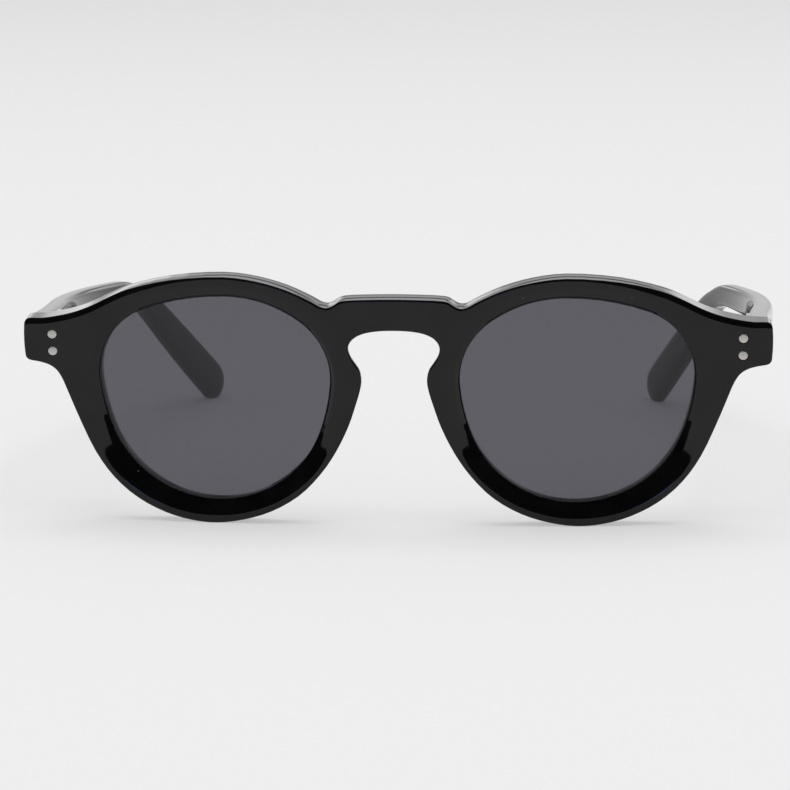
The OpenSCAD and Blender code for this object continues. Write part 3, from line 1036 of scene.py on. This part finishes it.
    def dish(self, eye: Eye, spots: np.ndarray, depth: np.ndarray) -> np.ndarray:
        """Sinks the dish round an opening into the face.

        Args:
            eye: The opening.
            spots: Points in X and Z.
            depth: The face's depth at each.

        Returns:
            The new depths.
        """
        ridge = self.ridge(eye)
        face = eye.into(raised(spots, depth))[:, 1]
        result = depth.copy()
        # The second pass looks at the spots where the first one left them, since the eye is turned.
        for _ in range(2):
            here = eye.into(raised(spots, result))
            flat = here[:, [0, 2]]
            near = ridge.distance(flat)
            near = np.where(ridge.holds(flat), near, -near)
            lip = eye.opening.distance(flat)
            share = np.where(near > 0, near / (near + lip + 1e-9), near / self.dish_above)
            deep = self.dish_low + (self.dish_top - self.dish_low) * smooth(here[:, 2], *self.dish_over)
            sunk = face * (1 - np.clip(share, 0, 1)) + deep * self.scoop(np.clip(share, -0.5, 1))
            down = (sunk + face + np.sqrt((sunk - face) ** 2 + self.ridge_soft ** 2)) / 2
            result = depth + np.where(near > -self.ridge_reach, down - face, 0)
        return result

    def scoop(self, share: np.ndarray) -> np.ndarray:
        """The dish's profile: a slope down from its ridge, and a steeper band along its lip.

        Args:
            share: Nought at the ridge and one at the lip.

        Returns:
            How deep it is there, one at the lip.
        """
        start, end = self.scoop_over
        width = end - start
        gain = self.scoop_lip - self.scoop_slope
        turn = np.clip((share - start) / width, 0, None)
        bent = np.where(turn < 1, turn ** 3 - turn ** 4 / 2, turn - 0.5) * width
        whole = self.scoop_slope + gain * (1 - start - width / 2)
        return (self.scoop_slope * share + gain * bent) / whole

    def bevel(self, spots: np.ndarray) -> np.ndarray:
        """Works out the front's long bevel, which widens over the ends of the brow.

        Args:
            spots: Points in X and Z.

        Returns:
            How far the bevel has fallen away at each.
        """
        upward = smooth(self.outline.outward()[:, 1], *self.bevel_facing)[self.outline.nearest(spots)]
        out = smooth(np.abs(spots[:, 0]), *self.brow_over) * upward
        reach = self.rim_bevel + (self.brow_bevel - self.rim_bevel) * out
        return self.bevel_slant * self.rounding(self.outline.distance(spots) + self.bevel_start, reach)

    def rounding(self, distance: np.ndarray, radius: float | np.ndarray) -> np.ndarray:
        """How far a rounded edge has fallen away at a distance inside it."""
        left = np.clip(1 - distance / radius, 0, 1)
        return radius * (1 - np.sqrt(np.clip(1 - left ** 2, 0, 1)))

    def face_depth(self, spots: np.ndarray) -> np.ndarray:
        """Works out the depth of the finished face.

        Args:
            spots: Points in X and Z.

        Returns:
            The depth of each, in millimetres.
        """
        depth = self.wrap(spots[:, 0])
        for eye in self.eyes.values():
            near = np.abs(spots[:, 0] - eye.centre[0]) < self.dish_reach
            depth[near] = self.dish(eye, spots[near], depth[near])
            depth[near] += self.rounding(self.lip(eye).distance(spots[near]), self.lip_round)
        for hole in self.holes:
            depth += self.rounding(hole.distance(spots), self.hole_round)
        return depth + self.bevel(spots)

    def back_depth(self, spots: np.ndarray) -> np.ndarray:
        """Works out the depth of the finished back, cut away beside the nose.

        Args:
            spots: Points in X and Z.

        Returns:
            The depth of each, in millimetres.
        """
        depth = self.back(spots[:, 0])
        for eye in self.eyes.values():
            depth -= self.rounding(self.lip(eye).distance(spots), self.rim_back_round)
        out = np.abs(spots[:, 0])
        radius = self.back_round + (self.end_round - self.back_round) * smooth(out, *self.end_over)
        inside = self.outline.distance(spots)
        nose = 1 - smooth(out, *self.nose_beside)
        nose *= smooth(spots[:, 1], *self.nose_low) * (1 - smooth(spots[:, 1], *self.nose_top))
        relief = self.nose_depth * np.clip(1 - inside / self.nose_width, 0, 1)
        return depth - np.maximum(self.rounding(inside, radius), relief * nose)

    def spots(self) -> tuple[np.ndarray, list[np.ndarray]]:
        """Spreads points over the face, close where it bends.

        Returns:
            The points in X and Z, and the numbers of those on each boundary.
        """
        lips = [self.lip(eye) for eye in self.eyes.values()]
        points = [loop.points[:, :2] for loop in (self.outline, *lips, *self.holes)]
        starts = np.cumsum([0] + [len(p) for p in points])
        numbers = [np.arange(start, end) for start, end in zip(starts, starts[1:])]
        for angle in self.bevel_rings:
            inset = self.brow_bevel * (1 - math.cos(math.radians(angle)))
            ring = self.outline.grown(-inset)[:, :2]
            points.append(ring[self.outline.distance(ring) > inset - self.bevel_slack])
        for lip in lips:
            for inset in self.lip_rings:
                points.append(lip.grown(inset)[:, :2])
            for inset in np.arange(*self.dish_rings, self.dish_step):
                ring = lip.grown(inset)[:, :2]
                clear = self.outline.distance(ring) > self.brow_bevel + self.dish_clear
                points.append(ring[clear & self.outline.holds(ring)])
        for hole in self.holes:
            for inset in self.hole_rings:
                points.append(hole.grown(inset)[:, :2])
        points.append(self.grid(lips))
        return np.concatenate(points), numbers

    def grid(self, lips: Sequence[Loop]) -> np.ndarray:
        """Spreads staggered rows of points over what the rings of points leave free.

        Args:
            lips: The lips of the openings.

        Returns:
            The points in X and Z.
        """
        low, high = self.outline.points.min(0), self.outline.points.max(0)
        rows = []
        for i, z in enumerate(np.arange(low[1], high[1], self.grid_step * self.row_share)):
            x = np.arange(low[0] + (i % 2) * self.grid_step / 2, high[0], self.grid_step)
            rows.append(np.stack([x, np.full(len(x), z)], 1))
        grid = np.concatenate(rows)
        keep = self.outline.holds(grid) & (self.outline.distance(grid) > self.brow_bevel + self.grid_clear)
        for lip in lips:
            keep &= ~lip.holds(grid) & (lip.distance(grid) > self.dish_rings[1])
        for hole in self.holes:
            keep &= ~hole.holds(grid) & (hole.distance(grid) > self.hole_clear)
        return grid[keep]

    def joined(self) -> tuple[np.ndarray, np.ndarray, list[np.ndarray]]:
        """Joins the spots into triangles that leave the openings and the holes free.

        Returns:
            The points in X and Z, the triangles, and the numbers of the points on each boundary.
        """
        spots, bounds = self.spots()
        edges = [(int(a), int(b)) for ring in bounds for a, b in zip(ring, np.roll(ring, -1))]
        found = delaunay_2d_cdt([Vector(p) for p in spots], edges, [], 0, 1e-6, True)
        flat = np.array([v[:] for v in found[0]])
        number = {int(old): new for new, olds in enumerate(found[3]) for old in olds}
        bounds = [np.array([number[int(i)] for i in ring]) for ring in bounds]
        triangles = np.array(found[2])
        middles = flat[triangles].mean(1)
        keep = self.outline.holds(middles)
        for ring in bounds[1:]:
            keep &= ~Loop(flat[ring]).holds(middles)
        return flat, triangles[keep], bounds

    def build(self) -> None:
        """Builds the front and hands it to the frame."""
        self.read()
        flat, triangles, bounds = self.joined()
        face = raised(flat, self.face_depth(flat))
        rear = raised(flat, self.back_depth(flat))
        for eye in self.eyes.values():
            near = smooth(1 - self.lip(eye).distance(flat) / self.wall_reach, 0, 1)
            slant = eye.side.value * math.tan(eye.turn)
            rear[:, 0] -= slant * (rear[:, 1] - face[:, 1]) * near
        points, faces = [face, rear], [tuple(t) for t in triangles]
        faces += [tuple(t[::-1] + len(flat)) for t in triangles]
        total = 2 * len(flat)
        for place, ring in enumerate(bounds):
            rings = [ring]
            for level in self.wall(place, face[ring], rear[ring]):
                points.append(level)
                rings.append(np.arange(total, total + len(ring)))
                total += len(ring)
            rings.append(ring + len(flat))
            faces += strips([[int(i) for i in r] for r in rings])
        everything = self.stance.world(np.concatenate(points))
        self.shop.piece("front_piece", everything, faces, "black_acetate", "front", ["front"], self.crease)

    def wall(self, place: int, face: np.ndarray, rear: np.ndarray) -> list[np.ndarray]:
        """Makes the rings between the face and the back on one boundary.

        Args:
            place: The boundary's place: the outline, the two openings, then the holes.
            face: The boundary's points on the face.
            rear: The same points on the back.

        Returns:
            The points of each ring.
        """
        through = rear - face
        if place == 0:
            out = np.zeros_like(face)
            out[:, [0, 2]] = self.silhouette.outward() * self.rise[:, None]
            return [face + through * share + out * (1 - (2 * share - 1) ** 2) for share in self.wall_shares]
        if place > 2:
            return [face + through * share for share in self.hole_shares]
        eye = list(self.eyes.values())[place - 1]
        start, end = self.groove
        rings = [face + through * self.wall_skin, eye.outline(0, start)]
        rings.append(eye.outline(self.groove_depth, start + self.groove_slant))
        rings.append(eye.outline(self.groove_depth, end - self.groove_slant))
        return [*rings, eye.outline(0, end), face + through * (1 - self.wall_skin)]


@dataclass
class Lens:
    """A lens: a thin meniscus with a bevel round its edge, which sits in the groove."""

    shop: Workshop
    stance: Stance
    eye: Eye
    thickness: float = 1.9
    front_radius: float = 265.0
    bevel_depth: float = 3.2
    bevel_height: float = 0.66
    clear: float = 0.03
    sag: float = 1.042
    ring_span: Span = (0.04, 0.96)
    ring_count: int = 24
    edge_rings: tuple[float, ...] = (0.985, 1.0)
    crease: float = 25.0

    def surface(self, flat: np.ndarray, deep: float) -> np.ndarray:
        """Lays points on a surface of the lens.

        Args:
            flat: Points in X and Z of the eye's own frame.
            deep: Depth of the surface behind the front one.

        Returns:
            The points on the surface.
        """
        radius = self.front_radius - deep
        crown = self.bevel_depth - self.thickness / 2 - self.sag + self.front_radius
        return raised(flat, crown - np.sqrt(radius ** 2 - np.sum(flat ** 2, 1)))

    def build(self) -> None:
        """Builds the lens and hands it to the frame."""
        edge = self.eye.opening.grown(-self.clear)
        shares = [*np.linspace(*self.ring_span, self.ring_count), *self.edge_rings]
        rings = [self.surface(edge * share, 0) for share in shares]
        rings.append(raised(self.eye.opening.grown(self.bevel_height), self.bevel_depth))
        rings += [self.surface(edge * share, self.thickness) for share in shares[::-1]]
        middle = np.zeros((1, 2))
        points, faces = closed(rings, self.surface(middle, 0)[0], self.surface(middle, self.thickness)[0])
        name = "lens_" + self.eye.side.label
        whole = self.stance.world(self.eye.out(points))
        self.shop.piece(name + "_piece", whole, faces, "lens_tint", "front", [name], self.crease)


@dataclass
class NosePad:
    """A nose pad: a rounded block on the back of the rim, full in the middle and thin at its ends."""

    shop: Workshop
    stance: Stance
    front: Front
    side: Side
    length: float = 13.0
    depth: float = 4.6
    width: float = 4.0
    middle_x: float = 10.8
    middle_z: float = 25.1
    slant: float = 0.14
    sunk: float = 0.8
    rows: int = 40
    sides: int = 36
    end_share: float = 0.02
    end_power: float = 2.6
    end_width: float = 0.25
    end_narrow: float = 0.35
    end_low: float = 0.16
    width_power: float = 0.85
    depth_power: float = 0.8
    flare: float = 0.1

    def ring(self, along: float) -> np.ndarray:
        """Draws one section of the pad.

        Args:
            along: The section's place, from one at the top to minus one at the bottom.

        Returns:
            Its points, in the front's own frame.
        """
        full = (1 - abs(along) ** self.end_power) ** (1 / self.end_power)
        half = self.width / 2 * (self.end_width + (1 - self.end_width) * full) * full ** self.end_narrow
        reach = self.depth * full * (1 - self.end_low * abs(along))
        c, s = np.cos(around(self.sides)), np.sin(around(self.sides))
        across = half * np.sign(c) * np.abs(c) ** self.width_power
        out = np.where(s > 0, reach * np.abs(s) ** self.depth_power, self.sunk * s * full)
        x = self.middle_x - along * self.length * self.slant / 2 + across - self.flare * out
        z = np.full(self.sides, self.middle_z + along * self.length / 2)
        return np.stack([x * self.side.value, self.front.back(x) + out, z], 1)

    def build(self) -> None:
        """Builds the pad and hands it to the frame."""
        whole = 1 - 2 * self.end_share
        rings = [self.ring(math.cos(math.pi * (self.end_share + whole * i / self.rows)))
                 for i in range(self.rows + 1)]
        points, faces = closed(rings, rings[0].mean(0), rings[-1].mean(0))
        name = "nose_pad_" + self.side.label
        self.shop.piece(name + "_piece", self.stance.world(points), faces, "pad_acetate", "front", [name])


@dataclass
class Temple:
    """A temple: a cored acetate bar with an ear bend and a broad rounded tip.

    Its sizes go by the distance behind its front end, along Y. A section's power makes it nearly square
    where it is low, and round where it is one.
    """

    shop: Workshop
    stance: Stance
    side: Side
    half_front: float = 72.6
    thick: float = 4.4
    taper: float = 0.4
    splay: float = math.radians(1.5)
    bow: float = 2.8
    straight: float = 93.0
    hook: float = 41.0
    tip_in: float = 22.3
    tall: float = 8.0
    tall_bend: float = 4.5
    tall_tip: float = 9.0
    bend: float = 20.0
    drop: float = 4.9
    hook_slope: float = 0.707066
    hinge_power: float = 0.35
    shaft_power: float = 0.5
    tip_power: float = 0.8
    inward_share: float = 0.34
    inward_power: float = 1.77
    end_back: float = 10.2
    butt_gap: float = 0.06
    end_y: float = 6.37065
    hinge: Triple = (67.4, 8.21494, 36.9684)
    edge_round: float = 0.3
    edge_middle: float = 0.3
    sides: int = 48
    first_ring: float = 1.2
    ring_counts: tuple[int, int, int] = (40, 26, 22)
    cap_angles: tuple[float, ...] = (12, 24, 36, 48, 60, 70, 79, 86)
    barrel_radius: float = 1.4
    barrel_height: float = 5.6
    head_radius: float = 1.25
    head_height: float = 0.6
    room: float = 0.15
    room_sides: int = 64
    leaf_length: float = 11.0
    leaf_depth: float = 1.0
    leaf_clear: float = 0.01
    pocket_open: float = 2.0
    front_open: float = 5.2
    crease: float = 35.0

    def thickness(self, y: float) -> float:
        """Thickness of the temple at a distance behind its front end."""
        return self.thick - self.taper * min(1.0, max(y, 0.0) / self.straight)

    def height(self, y: float) -> float:
        """Works out the temple's height, least at the ear bend.

        Args:
            y: Distance behind its front end.

        Returns:
            The height there.
        """
        if y < self.straight:
            return self.tall + (self.tall_bend - self.tall) * max(y, 0.0) / self.straight
        left = 1 - (y - self.straight) / self.hook
        return self.tall_bend + (self.tall_tip - self.tall_bend) * (1 - left ** 2)

    def power(self, y: float) -> float:
        """Works out the power of the temple's section.

        Args:
            y: Distance behind its front end.

        Returns:
            The power there.
        """
        if y < self.straight:
            share = min(1.0, max(0.0, y / (self.straight / 2)))
            return self.hinge_power + (self.shaft_power - self.hinge_power) * share
        share = min(1.0, (y - self.straight) / self.hook)
        return self.shaft_power + (self.tip_power - self.shaft_power) * share

    def at(self, y: float) -> np.ndarray:
        """Finds the middle of the temple, before it is splayed.

        Args:
            y: Distance behind its front end.

        Returns:
            The middle there, over the table.
        """
        whole = self.straight + self.hook
        start = self.inward_share * self.straight
        inward = self.tip_in * max(0.0, (y - start) / (whole - start)) ** self.inward_power
        bowed = self.bow * math.sin(math.pi * max(y, 0.0) / whole) ** 2
        turn_at = self.straight - self.bend / 2
        if y < turn_at:
            fallen = 0.0
        elif y < turn_at + self.bend:
            fallen = (y - turn_at) ** 2 / (2 * self.bend)
        else:
            fallen = y - self.straight
        x = self.half_front - self.thickness(y) / 2 + bowed - inward
        z = self.hinge[2] - self.drop / self.straight * y - self.hook_slope * fallen
        return np.array([x, self.end_y + y, z])

    def along(self, y: float) -> np.ndarray:
        """Unit vector along the temple."""
        way = self.at(y + 0.5) - self.at(y - 0.5)
        return way / np.linalg.norm(way)

    def ring(self, centre: np.ndarray, way: np.ndarray, size: Span, power: float) -> np.ndarray:
        """Draws a rounded section across the temple.

        Args:
            centre: Its middle.
            way: The direction along the temple.
            size: Its thickness and height.
            power: Power of its curve.

        Returns:
            Its points.
        """
        across = np.cross(way, (0, 0, 1))
        across /= np.linalg.norm(across)
        upward = np.cross(across, way)
        c, s = np.cos(around(self.sides, 0.5)), np.sin(around(self.sides, 0.5))
        wide = np.sign(c) * np.abs(c) ** power * size[0] / 2
        high = np.sign(s) * np.abs(s) ** power * size[1] / 2
        return centre + wide[:, None] * across + high[:, None] * upward

    def splayed(self, points: np.ndarray) -> np.ndarray:
        """Points turned about the hinge to the open temple's splay."""
        pivot = Matrix.Translation(self.hinge)
        return moved(points, pivot @ Matrix.Rotation(-self.splay, 4, "Z") @ pivot.inverted())

    def settled(self, points: np.ndarray) -> np.ndarray:
        """Takes points to the object's frame, on this temple's side.

        Args:
            points: Points over the table, on the side of +X.

        Returns:
            The points in the object's frame.
        """
        stood = points + np.array([0, self.stance.back, self.stance.up])
        stood[:, 0] *= self.side.value
        return stood

    def butted(self, points: np.ndarray, extra: float) -> np.ndarray:
        """Points slid along Y to the plane of the endpiece's back.

        Args:
            points: Points over the table.
            extra: Distance behind that plane.

        Returns:
            The slid points.
        """
        lean = self.stance.lean
        slid = points.copy()
        slid[:, 1] = (self.end_back + self.butt_gap + extra - points[:, 2] * math.sin(lean)) / math.cos(lean)
        return slid

    def block(self, low: Sequence[float], high: Sequence[float]) -> np.ndarray:
        """The eight corners of a block."""
        return np.array([[x, y, z] for x in (low[0], high[0]) for y in (low[1], high[1])
                         for z in (low[2], high[2])])

    def round_room(self, radius: float, low: float, high: float) -> tuple[np.ndarray, list[Face]]:
        """Makes an upright round room about the hinge's axis.

        Args:
            radius: What turns in it.
            low: Where it starts.
            high: Where it ends.

        Returns:
            Its points and faces, with some clearance round what turns in it.
        """
        n = self.room_sides
        x, y, _ = self.hinge
        turns = around(n)
        wide = radius + self.room
        circle = np.stack([x + wide * np.cos(turns), y + wide * np.sin(turns)], 1)
        points = np.concatenate([np.c_[circle, np.full(n, low)], np.c_[circle, np.full(n, high)]])
        caps = [tuple(range(n - 1, -1, -1)), tuple(range(n, 2 * n))]
        return points, strips([range(n), range(n, 2 * n)]) + caps

    def cutters(self) -> list[bpy.types.Object]:
        """Makes the shapes that are cut away for the hinge.

        Returns:
            The leaf's pocket, the rooms of the barrel and of the screw's head, and the open front.
        """
        x, y, z = self.hinge
        inner = self.half_front - self.thick
        half, clear = self.barrel_height / 2, self.leaf_clear
        low, high = z - half - self.room, z + half + self.room
        pocket = self.block((inner - self.pocket_open, y - clear, z - half - clear),
                            (inner + self.leaf_depth, y + self.leaf_length + clear, z + half + clear))
        open_front = self.block((x - self.front_open, y - self.front_open, low),
                                (x + self.barrel_radius, y, high))
        shapes = [(pocket, BLOCK_FACES), self.round_room(self.barrel_radius, low, high),
                  self.round_room(self.head_radius, z, high + self.head_height), (open_front, BLOCK_FACES)]
        return [set_out("cutter", solid("cutter", self.settled(self.splayed(points)), faces))
                for points, faces in shapes]

    def sections(self) -> list[np.ndarray]:
        """Draws the temple's sections, from its rounded front edge to its rounded tip.

        Returns:
            The points of each.
        """
        sections = []
        middle = self.edge_middle * self.edge_round
        for inset, extra in ((self.edge_round, 0), (middle, middle), (0, self.edge_round)):
            size = (self.thickness(0) - 2 * inset, self.tall - 2 * inset)
            section = self.ring(self.at(0), self.along(0), size, self.hinge_power)
            sections.append(self.butted(self.splayed(section), extra))
        cap = self.tall_tip / 2
        cap_at = self.straight + self.hook - cap
        places = (self.first_ring, self.straight - self.bend / 2, self.straight + self.bend / 2, cap_at)
        stops = [np.linspace(start, end, count)[:-1]
                 for start, end, count in zip(places, places[1:], self.ring_counts)]
        for y in (*np.concatenate(stops), cap_at):
            size = (self.thickness(y), self.height(y))
            sections.append(self.splayed(self.ring(self.at(y), self.along(y), size, self.power(y))))
        way = self.along(cap_at)
        for turn in np.radians(self.cap_angles):
            size = (self.thickness(cap_at) * math.sqrt(math.cos(turn)), self.height(cap_at) * math.cos(turn))
            centre = self.at(cap_at) + way * cap * math.sin(turn)
            sections.append(self.splayed(self.ring(centre, way, size, self.tip_power)))
        return sections

    def build(self) -> None:
        """Builds the temple and hands it to the frame."""
        sections = self.sections()
        points, faces = closed(sections, sections[0].mean(0), sections[-1].mean(0))
        whole = self.settled(points)
        whole[:, 2] = np.maximum(whole[:, 2], 0)
        name = "temple_" + self.side.label
        piece = self.shop.piece(name + "_piece", whole, faces, "black_acetate", name, [name], self.crease)
        self.cut(piece)
        log.info("%s: cut for its hinge, %d points", piece.name, len(piece.data.vertices))

    def cut(self, piece: bpy.types.Object) -> None:
        """Cuts the room for the hinge out of the temple.

        Args:
            piece: The temple's piece.
        """
        cutters = self.cutters()
        for cutter in cutters:
            change = piece.modifiers.new("cut", "BOOLEAN")
            change.operation = "DIFFERENCE"
            change.solver = "EXACT"
            change.object = cutter
        bpy.context.view_layer.update()
        seen = piece.evaluated_get(bpy.context.evaluated_depsgraph_get())
        mesh = bpy.data.meshes.new_from_object(seen)
        piece.modifiers.clear()
        piece.data = mesh
        mesh.set_sharp_from_angle(angle=math.radians(self.crease))
        for cutter in cutters:
            bpy.data.objects.remove(cutter)


@dataclass
class Hardware:
    """The rivets, hinges, screws and core wires of one side."""

    shop: Workshop
    stance: Stance
    front: Front
    temple: Temple
    side: Side
    rivet_across: float = 1.76
    rivet_proud: float = 0.07
    rivet_rim: float = 0.05
    rivet_sunk: float = 0.02
    rivet_share: float = 0.985
    crown_angles: tuple[float, ...] = (8, 20, 34, 48, 62, 75, 84)
    edge: float = 0.07

    def rivet_profile(self, length: float) -> list[Span]:
        """Draws the outline of a rivet with a low crowned head at its top.

        Args:
            length: The rivet's length to the head's rim.

        Returns:
            Radius and height of the outline, from its foot.
        """
        radius = self.rivet_across / 2
        crown = [(radius * math.cos(t), length + self.rivet_proud * math.sin(t))
                 for t in np.radians(self.crown_angles)]
        return [(radius, 0.0), (radius, length / 2), (radius, length - self.rivet_rim), *crown]

    def measured(self, name: str) -> tuple[np.ndarray, np.ndarray]:
        """The middle and the size of a node's box, in millimetres."""
        low, high = (np.array(corner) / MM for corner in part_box(name))
        return (low + high) / 2, high - low

    def front_rivets(self) -> None:
        """Builds the two rivets through the endpiece."""
        for place in ("upper", "lower"):
            name = f"front_rivet_{place}_{self.side.label}"
            x, _, z = self.stance.home(self.measured(name)[0][None, :])[0]
            foot = self.front.end_back
            length = foot - float(self.front.wrap(x)) - self.rivet_sunk
            turn = Matrix.Rotation(math.pi / 2, 4, "X")
            stand = self.stance.matrix() @ Matrix.Translation((x, foot, z)) @ turn
            profile = self.rivet_profile(length)
            self.shop.turned(name + "_piece", profile, stand, "rivet_steel", "front", [name])

    def temple_rivets(self) -> None:
        """Builds the two rivets through the temple."""
        body = "temple_" + self.side.label
        for place in ("front", "rear"):
            name = f"temple_rivet_{place}_{self.side.label}"
            middle, size = self.measured(name)
            length = size[0] * self.rivet_share - self.rivet_proud
            foot = (0, 0, -(length + self.rivet_proud) / 2)
            splay = Matrix.Rotation(-self.temple.splay * self.side.value, 4, "Z")
            turn = Matrix.Rotation(math.pi / 2 * self.side.value, 4, "Y")
            stand = Matrix.Translation(middle) @ splay @ turn @ Matrix.Translation(foot)
            profile = self.rivet_profile(length)
            self.shop.turned(name + "_piece", profile, stand, "rivet_steel", body, [name])

    def build(self) -> None:
        """Builds the side's metal pieces."""
        self.front_rivets()
        self.temple_rivets()
        label = self.side.label
        for part, body in (("front", "front"), ("screw", "front"), ("temple", "temple_" + label)):
            self.shop.bevelled(f"hinge_{part}_{label}", "hinge_steel", body, self.edge)
        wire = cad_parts["core_wire_" + label]
        wire.data.materials.clear()
        wire.data.materials.append(self.shop.finishes.made["core_wire"])
        log.info("core_wire_%s: dressed in core_wire", label)


@dataclass(frozen=True)
class Band:
    """A band of the room's wall, which starts gradually at a height and has one brightness."""

    low: float
    high: float
    value: float


@dataclass
class Studio:
    """The floor, the lamp, the room's light and the camera.

    A pair of values named for the wall or the window is where it starts to show and where it does, as
    the X, Y or Z of the way that a gleam comes from.
    """

    target: Triple = (-0.03, -67.94, 26.13)
    yaw: float = math.radians(3.9)
    elevation: float = math.radians(10.42)
    roll: float = math.radians(-0.266)
    distance: float = 600.2
    focal_pixels: float = 3089.0
    sensor: float = 36.0
    clip: Span = (0.01, 50.0)
    floor_half: float = 7.0
    floor_front: float = 0.30
    floor_glow: float = 0.47
    floor_pale: float = 0.93
    floor_tones: Span = (0.815, 0.825)
    floor_grain: float = 600
    floor_roughness: float = 0.9
    lamp_place: Triple = (0.0, -0.1, 2.2)
    lamp_size: float = 2.0
    lamp_power: float = 29.0
    backdrop: float = 0.855
    ambient: float = 0.5
    room_dark: float = 0.015
    wall_over: Span = (0.5, 0.64)
    wall_foot: float = 0.85
    wall_side: tuple[Band, ...] = (Band(0.10, 0.17, 2.0), Band(0.24, 0.36, 1.3))
    wall_middle: tuple[Band, ...] = (Band(0.10, 0.17, 0.5), Band(0.20, 0.33, 1.25), Band(0.36, 0.385, 0.3),
                                     Band(0.42, 0.45, 1.9))
    wall_beside: Span = (0.02, 0.05)
    wall_top: Band = Band(0.52, 0.60, 0.02)
    window_left: Span = (-0.18, -0.14)
    window_right: Span = (0.03, -0.01)
    window_low: Span = (0.0, 0.01)
    window_top: Span = (0.07, 0.05)
    window: Colour = (1.0, 2.4, 5.0, 1.0)

    def camera(self) -> None:
        """Sets the camera at the photograph's angle."""
        ce, se = math.cos(self.elevation), math.sin(self.elevation)
        ca, sa = math.cos(self.yaw), math.sin(self.yaw)
        right = Vector((ca, sa, 0))
        forward = Vector((-sa * ce, ca * ce, -se))
        up = Vector((-sa * se, ca * se, ce))
        image_right = right * math.cos(self.roll) + up * math.sin(self.roll)
        image_up = up * math.cos(self.roll) - right * math.sin(self.roll)
        place = (Vector(self.target) - forward * self.distance) * MM
        data = bpy.data.cameras.new("camera")
        data.sensor_width = self.sensor
        data.lens = self.focal_pixels / PHOTO_PIXELS * self.sensor
        data.clip_start, data.clip_end = self.clip
        thing = set_out("camera", data)
        turn = Matrix((image_right, image_up, -forward)).transposed().to_4x4()
        thing.matrix_world = Matrix.Translation(place) @ turn
        bpy.context.scene.camera = thing

    def floor(self) -> None:
        """Lays a pale matt floor, whose far front end a gleam shows as part of the dark room."""
        half = self.floor_half
        corners = [(-half, -half, 0), (half, -half, 0), (half, half, 0), (-half, half, 0)]
        mesh = bpy.data.meshes.new("floor")
        mesh.from_pydata(corners, [], [(0, 1, 2, 3)])
        material = bpy.data.materials.new("floor_paper")
        shade = Shade(material)
        spot = shade.place()
        dark_tone, pale_tone = self.floor_tones
        tone = shade.mix(shade.noise(spot, self.floor_grain, 4), grey(dark_tone), grey(pale_tone))
        paper = shade.gloss({
            "Base Color": tone, "Roughness": self.floor_roughness, "Specular IOR Level": 0.0})
        seen = shade.rays(Ray.CAMERA, Ray.GLOSSY, Ray.CLEAR)
        lit = shade.blend(seen * self.floor_glow, paper, shade.glow(grey(self.floor_pale)))
        ahead = (shade.axis(spot, "Y") * -1.0).over(self.floor_front)
        shade.surface(shade.blend(ahead * shade.rays(Ray.GLOSSY), lit, shade.glow(grey(self.room_dark))))
        mesh.materials.append(material)
        set_out("floor", mesh)

    def lamp(self) -> None:
        """Hangs one broad soft lamp over the glasses, which no gleam shows."""
        data = bpy.data.lights.new("overhead", "AREA")
        data.shape = "RECTANGLE"
        data.size = self.lamp_size
        data.size_y = self.lamp_size
        data.energy = self.lamp_power
        thing = set_out("overhead", data)
        thing.location = self.lamp_place
        thing.rotation_euler = (-Vector(self.lamp_place)).to_track_quat("-Z", "Y").to_euler()
        thing.visible_glossy = False

    def banded(self, shade: Shade, height: Wire, bands: Sequence[Band]) -> Wire:
        """Paints bands on the wall, one over another.

        Args:
            shade: The world's node tree.
            height: The height of the way that a gleam comes from.
            bands: The bands, from below.

        Returns:
            The wall's colour.
        """
        colour = grey(self.wall_foot)
        for band in bands:
            colour = shade.mix(height.ramp(band.low, band.high), colour, grey(band.value))
        return colour

    def room(self) -> None:
        """Lights the room: a pale backdrop behind, and a dark room over and ahead for what gleams."""
        world = bpy.data.worlds.new("room")
        bpy.context.scene.world = world
        shade = Shade(world)
        way = shade.add("ShaderNodeTexCoord").out("Generated")
        across, height = shade.axis(way, "X"), shade.axis(way, "Z")
        side = self.banded(shade, height, self.wall_side)
        middle = self.banded(shade, height, self.wall_middle)
        wall = shade.mix((across * across).ramp(*self.wall_beside), middle, side)
        top = self.wall_top
        wall = shade.mix(height.ramp(top.low, top.high), wall, grey(top.value))
        open_x = across.ramp(*self.window_left) * across.ramp(*self.window_right)
        open_z = height.ramp(*self.window_low) * height.ramp(*self.window_top)
        ahead = shade.mix(open_x * open_z, grey(self.room_dark), self.window)
        seen = shade.mix(shade.axis(way, "Y").ramp(*self.wall_over), ahead, wall)
        lit = shade.mix(shade.rays(Ray.GLOSSY), grey(self.ambient), seen)
        lit = shade.mix(shade.rays(Ray.CAMERA, Ray.CLEAR), lit, grey(self.backdrop))
        glow = shade.add("ShaderNodeBackground", None, {"Color": lit, "Strength": 1.0})
        shade.add("ShaderNodeOutputWorld", None, {"Surface": glow.out()})

    def build(self) -> None:
        """Sets up the studio."""
        self.camera()
        self.floor()
        self.lamp()
        self.room()
        bpy.context.scene.view_settings.view_transform = "Standard"
        log.info("studio is lit")


def main() -> None:
    """Builds the studio and every piece of the glasses, in order."""
    logging.basicConfig(level=logging.INFO, format="%(name)s: %(message)s")
    Studio().build()
    finishes = Finishes()
    finishes.make()
    shop = Workshop(finishes)
    stance = Stance()
    front = Front(shop, stance)
    front.build()
    for side in Side:
        Lens(shop, stance, front.eyes[side]).build()
        NosePad(shop, stance, front, side).build()
        temple = Temple(shop, stance, side)
        temple.build()
        Hardware(shop, stance, front, temple, side).build()


if __name__ == "__main__":
    main()
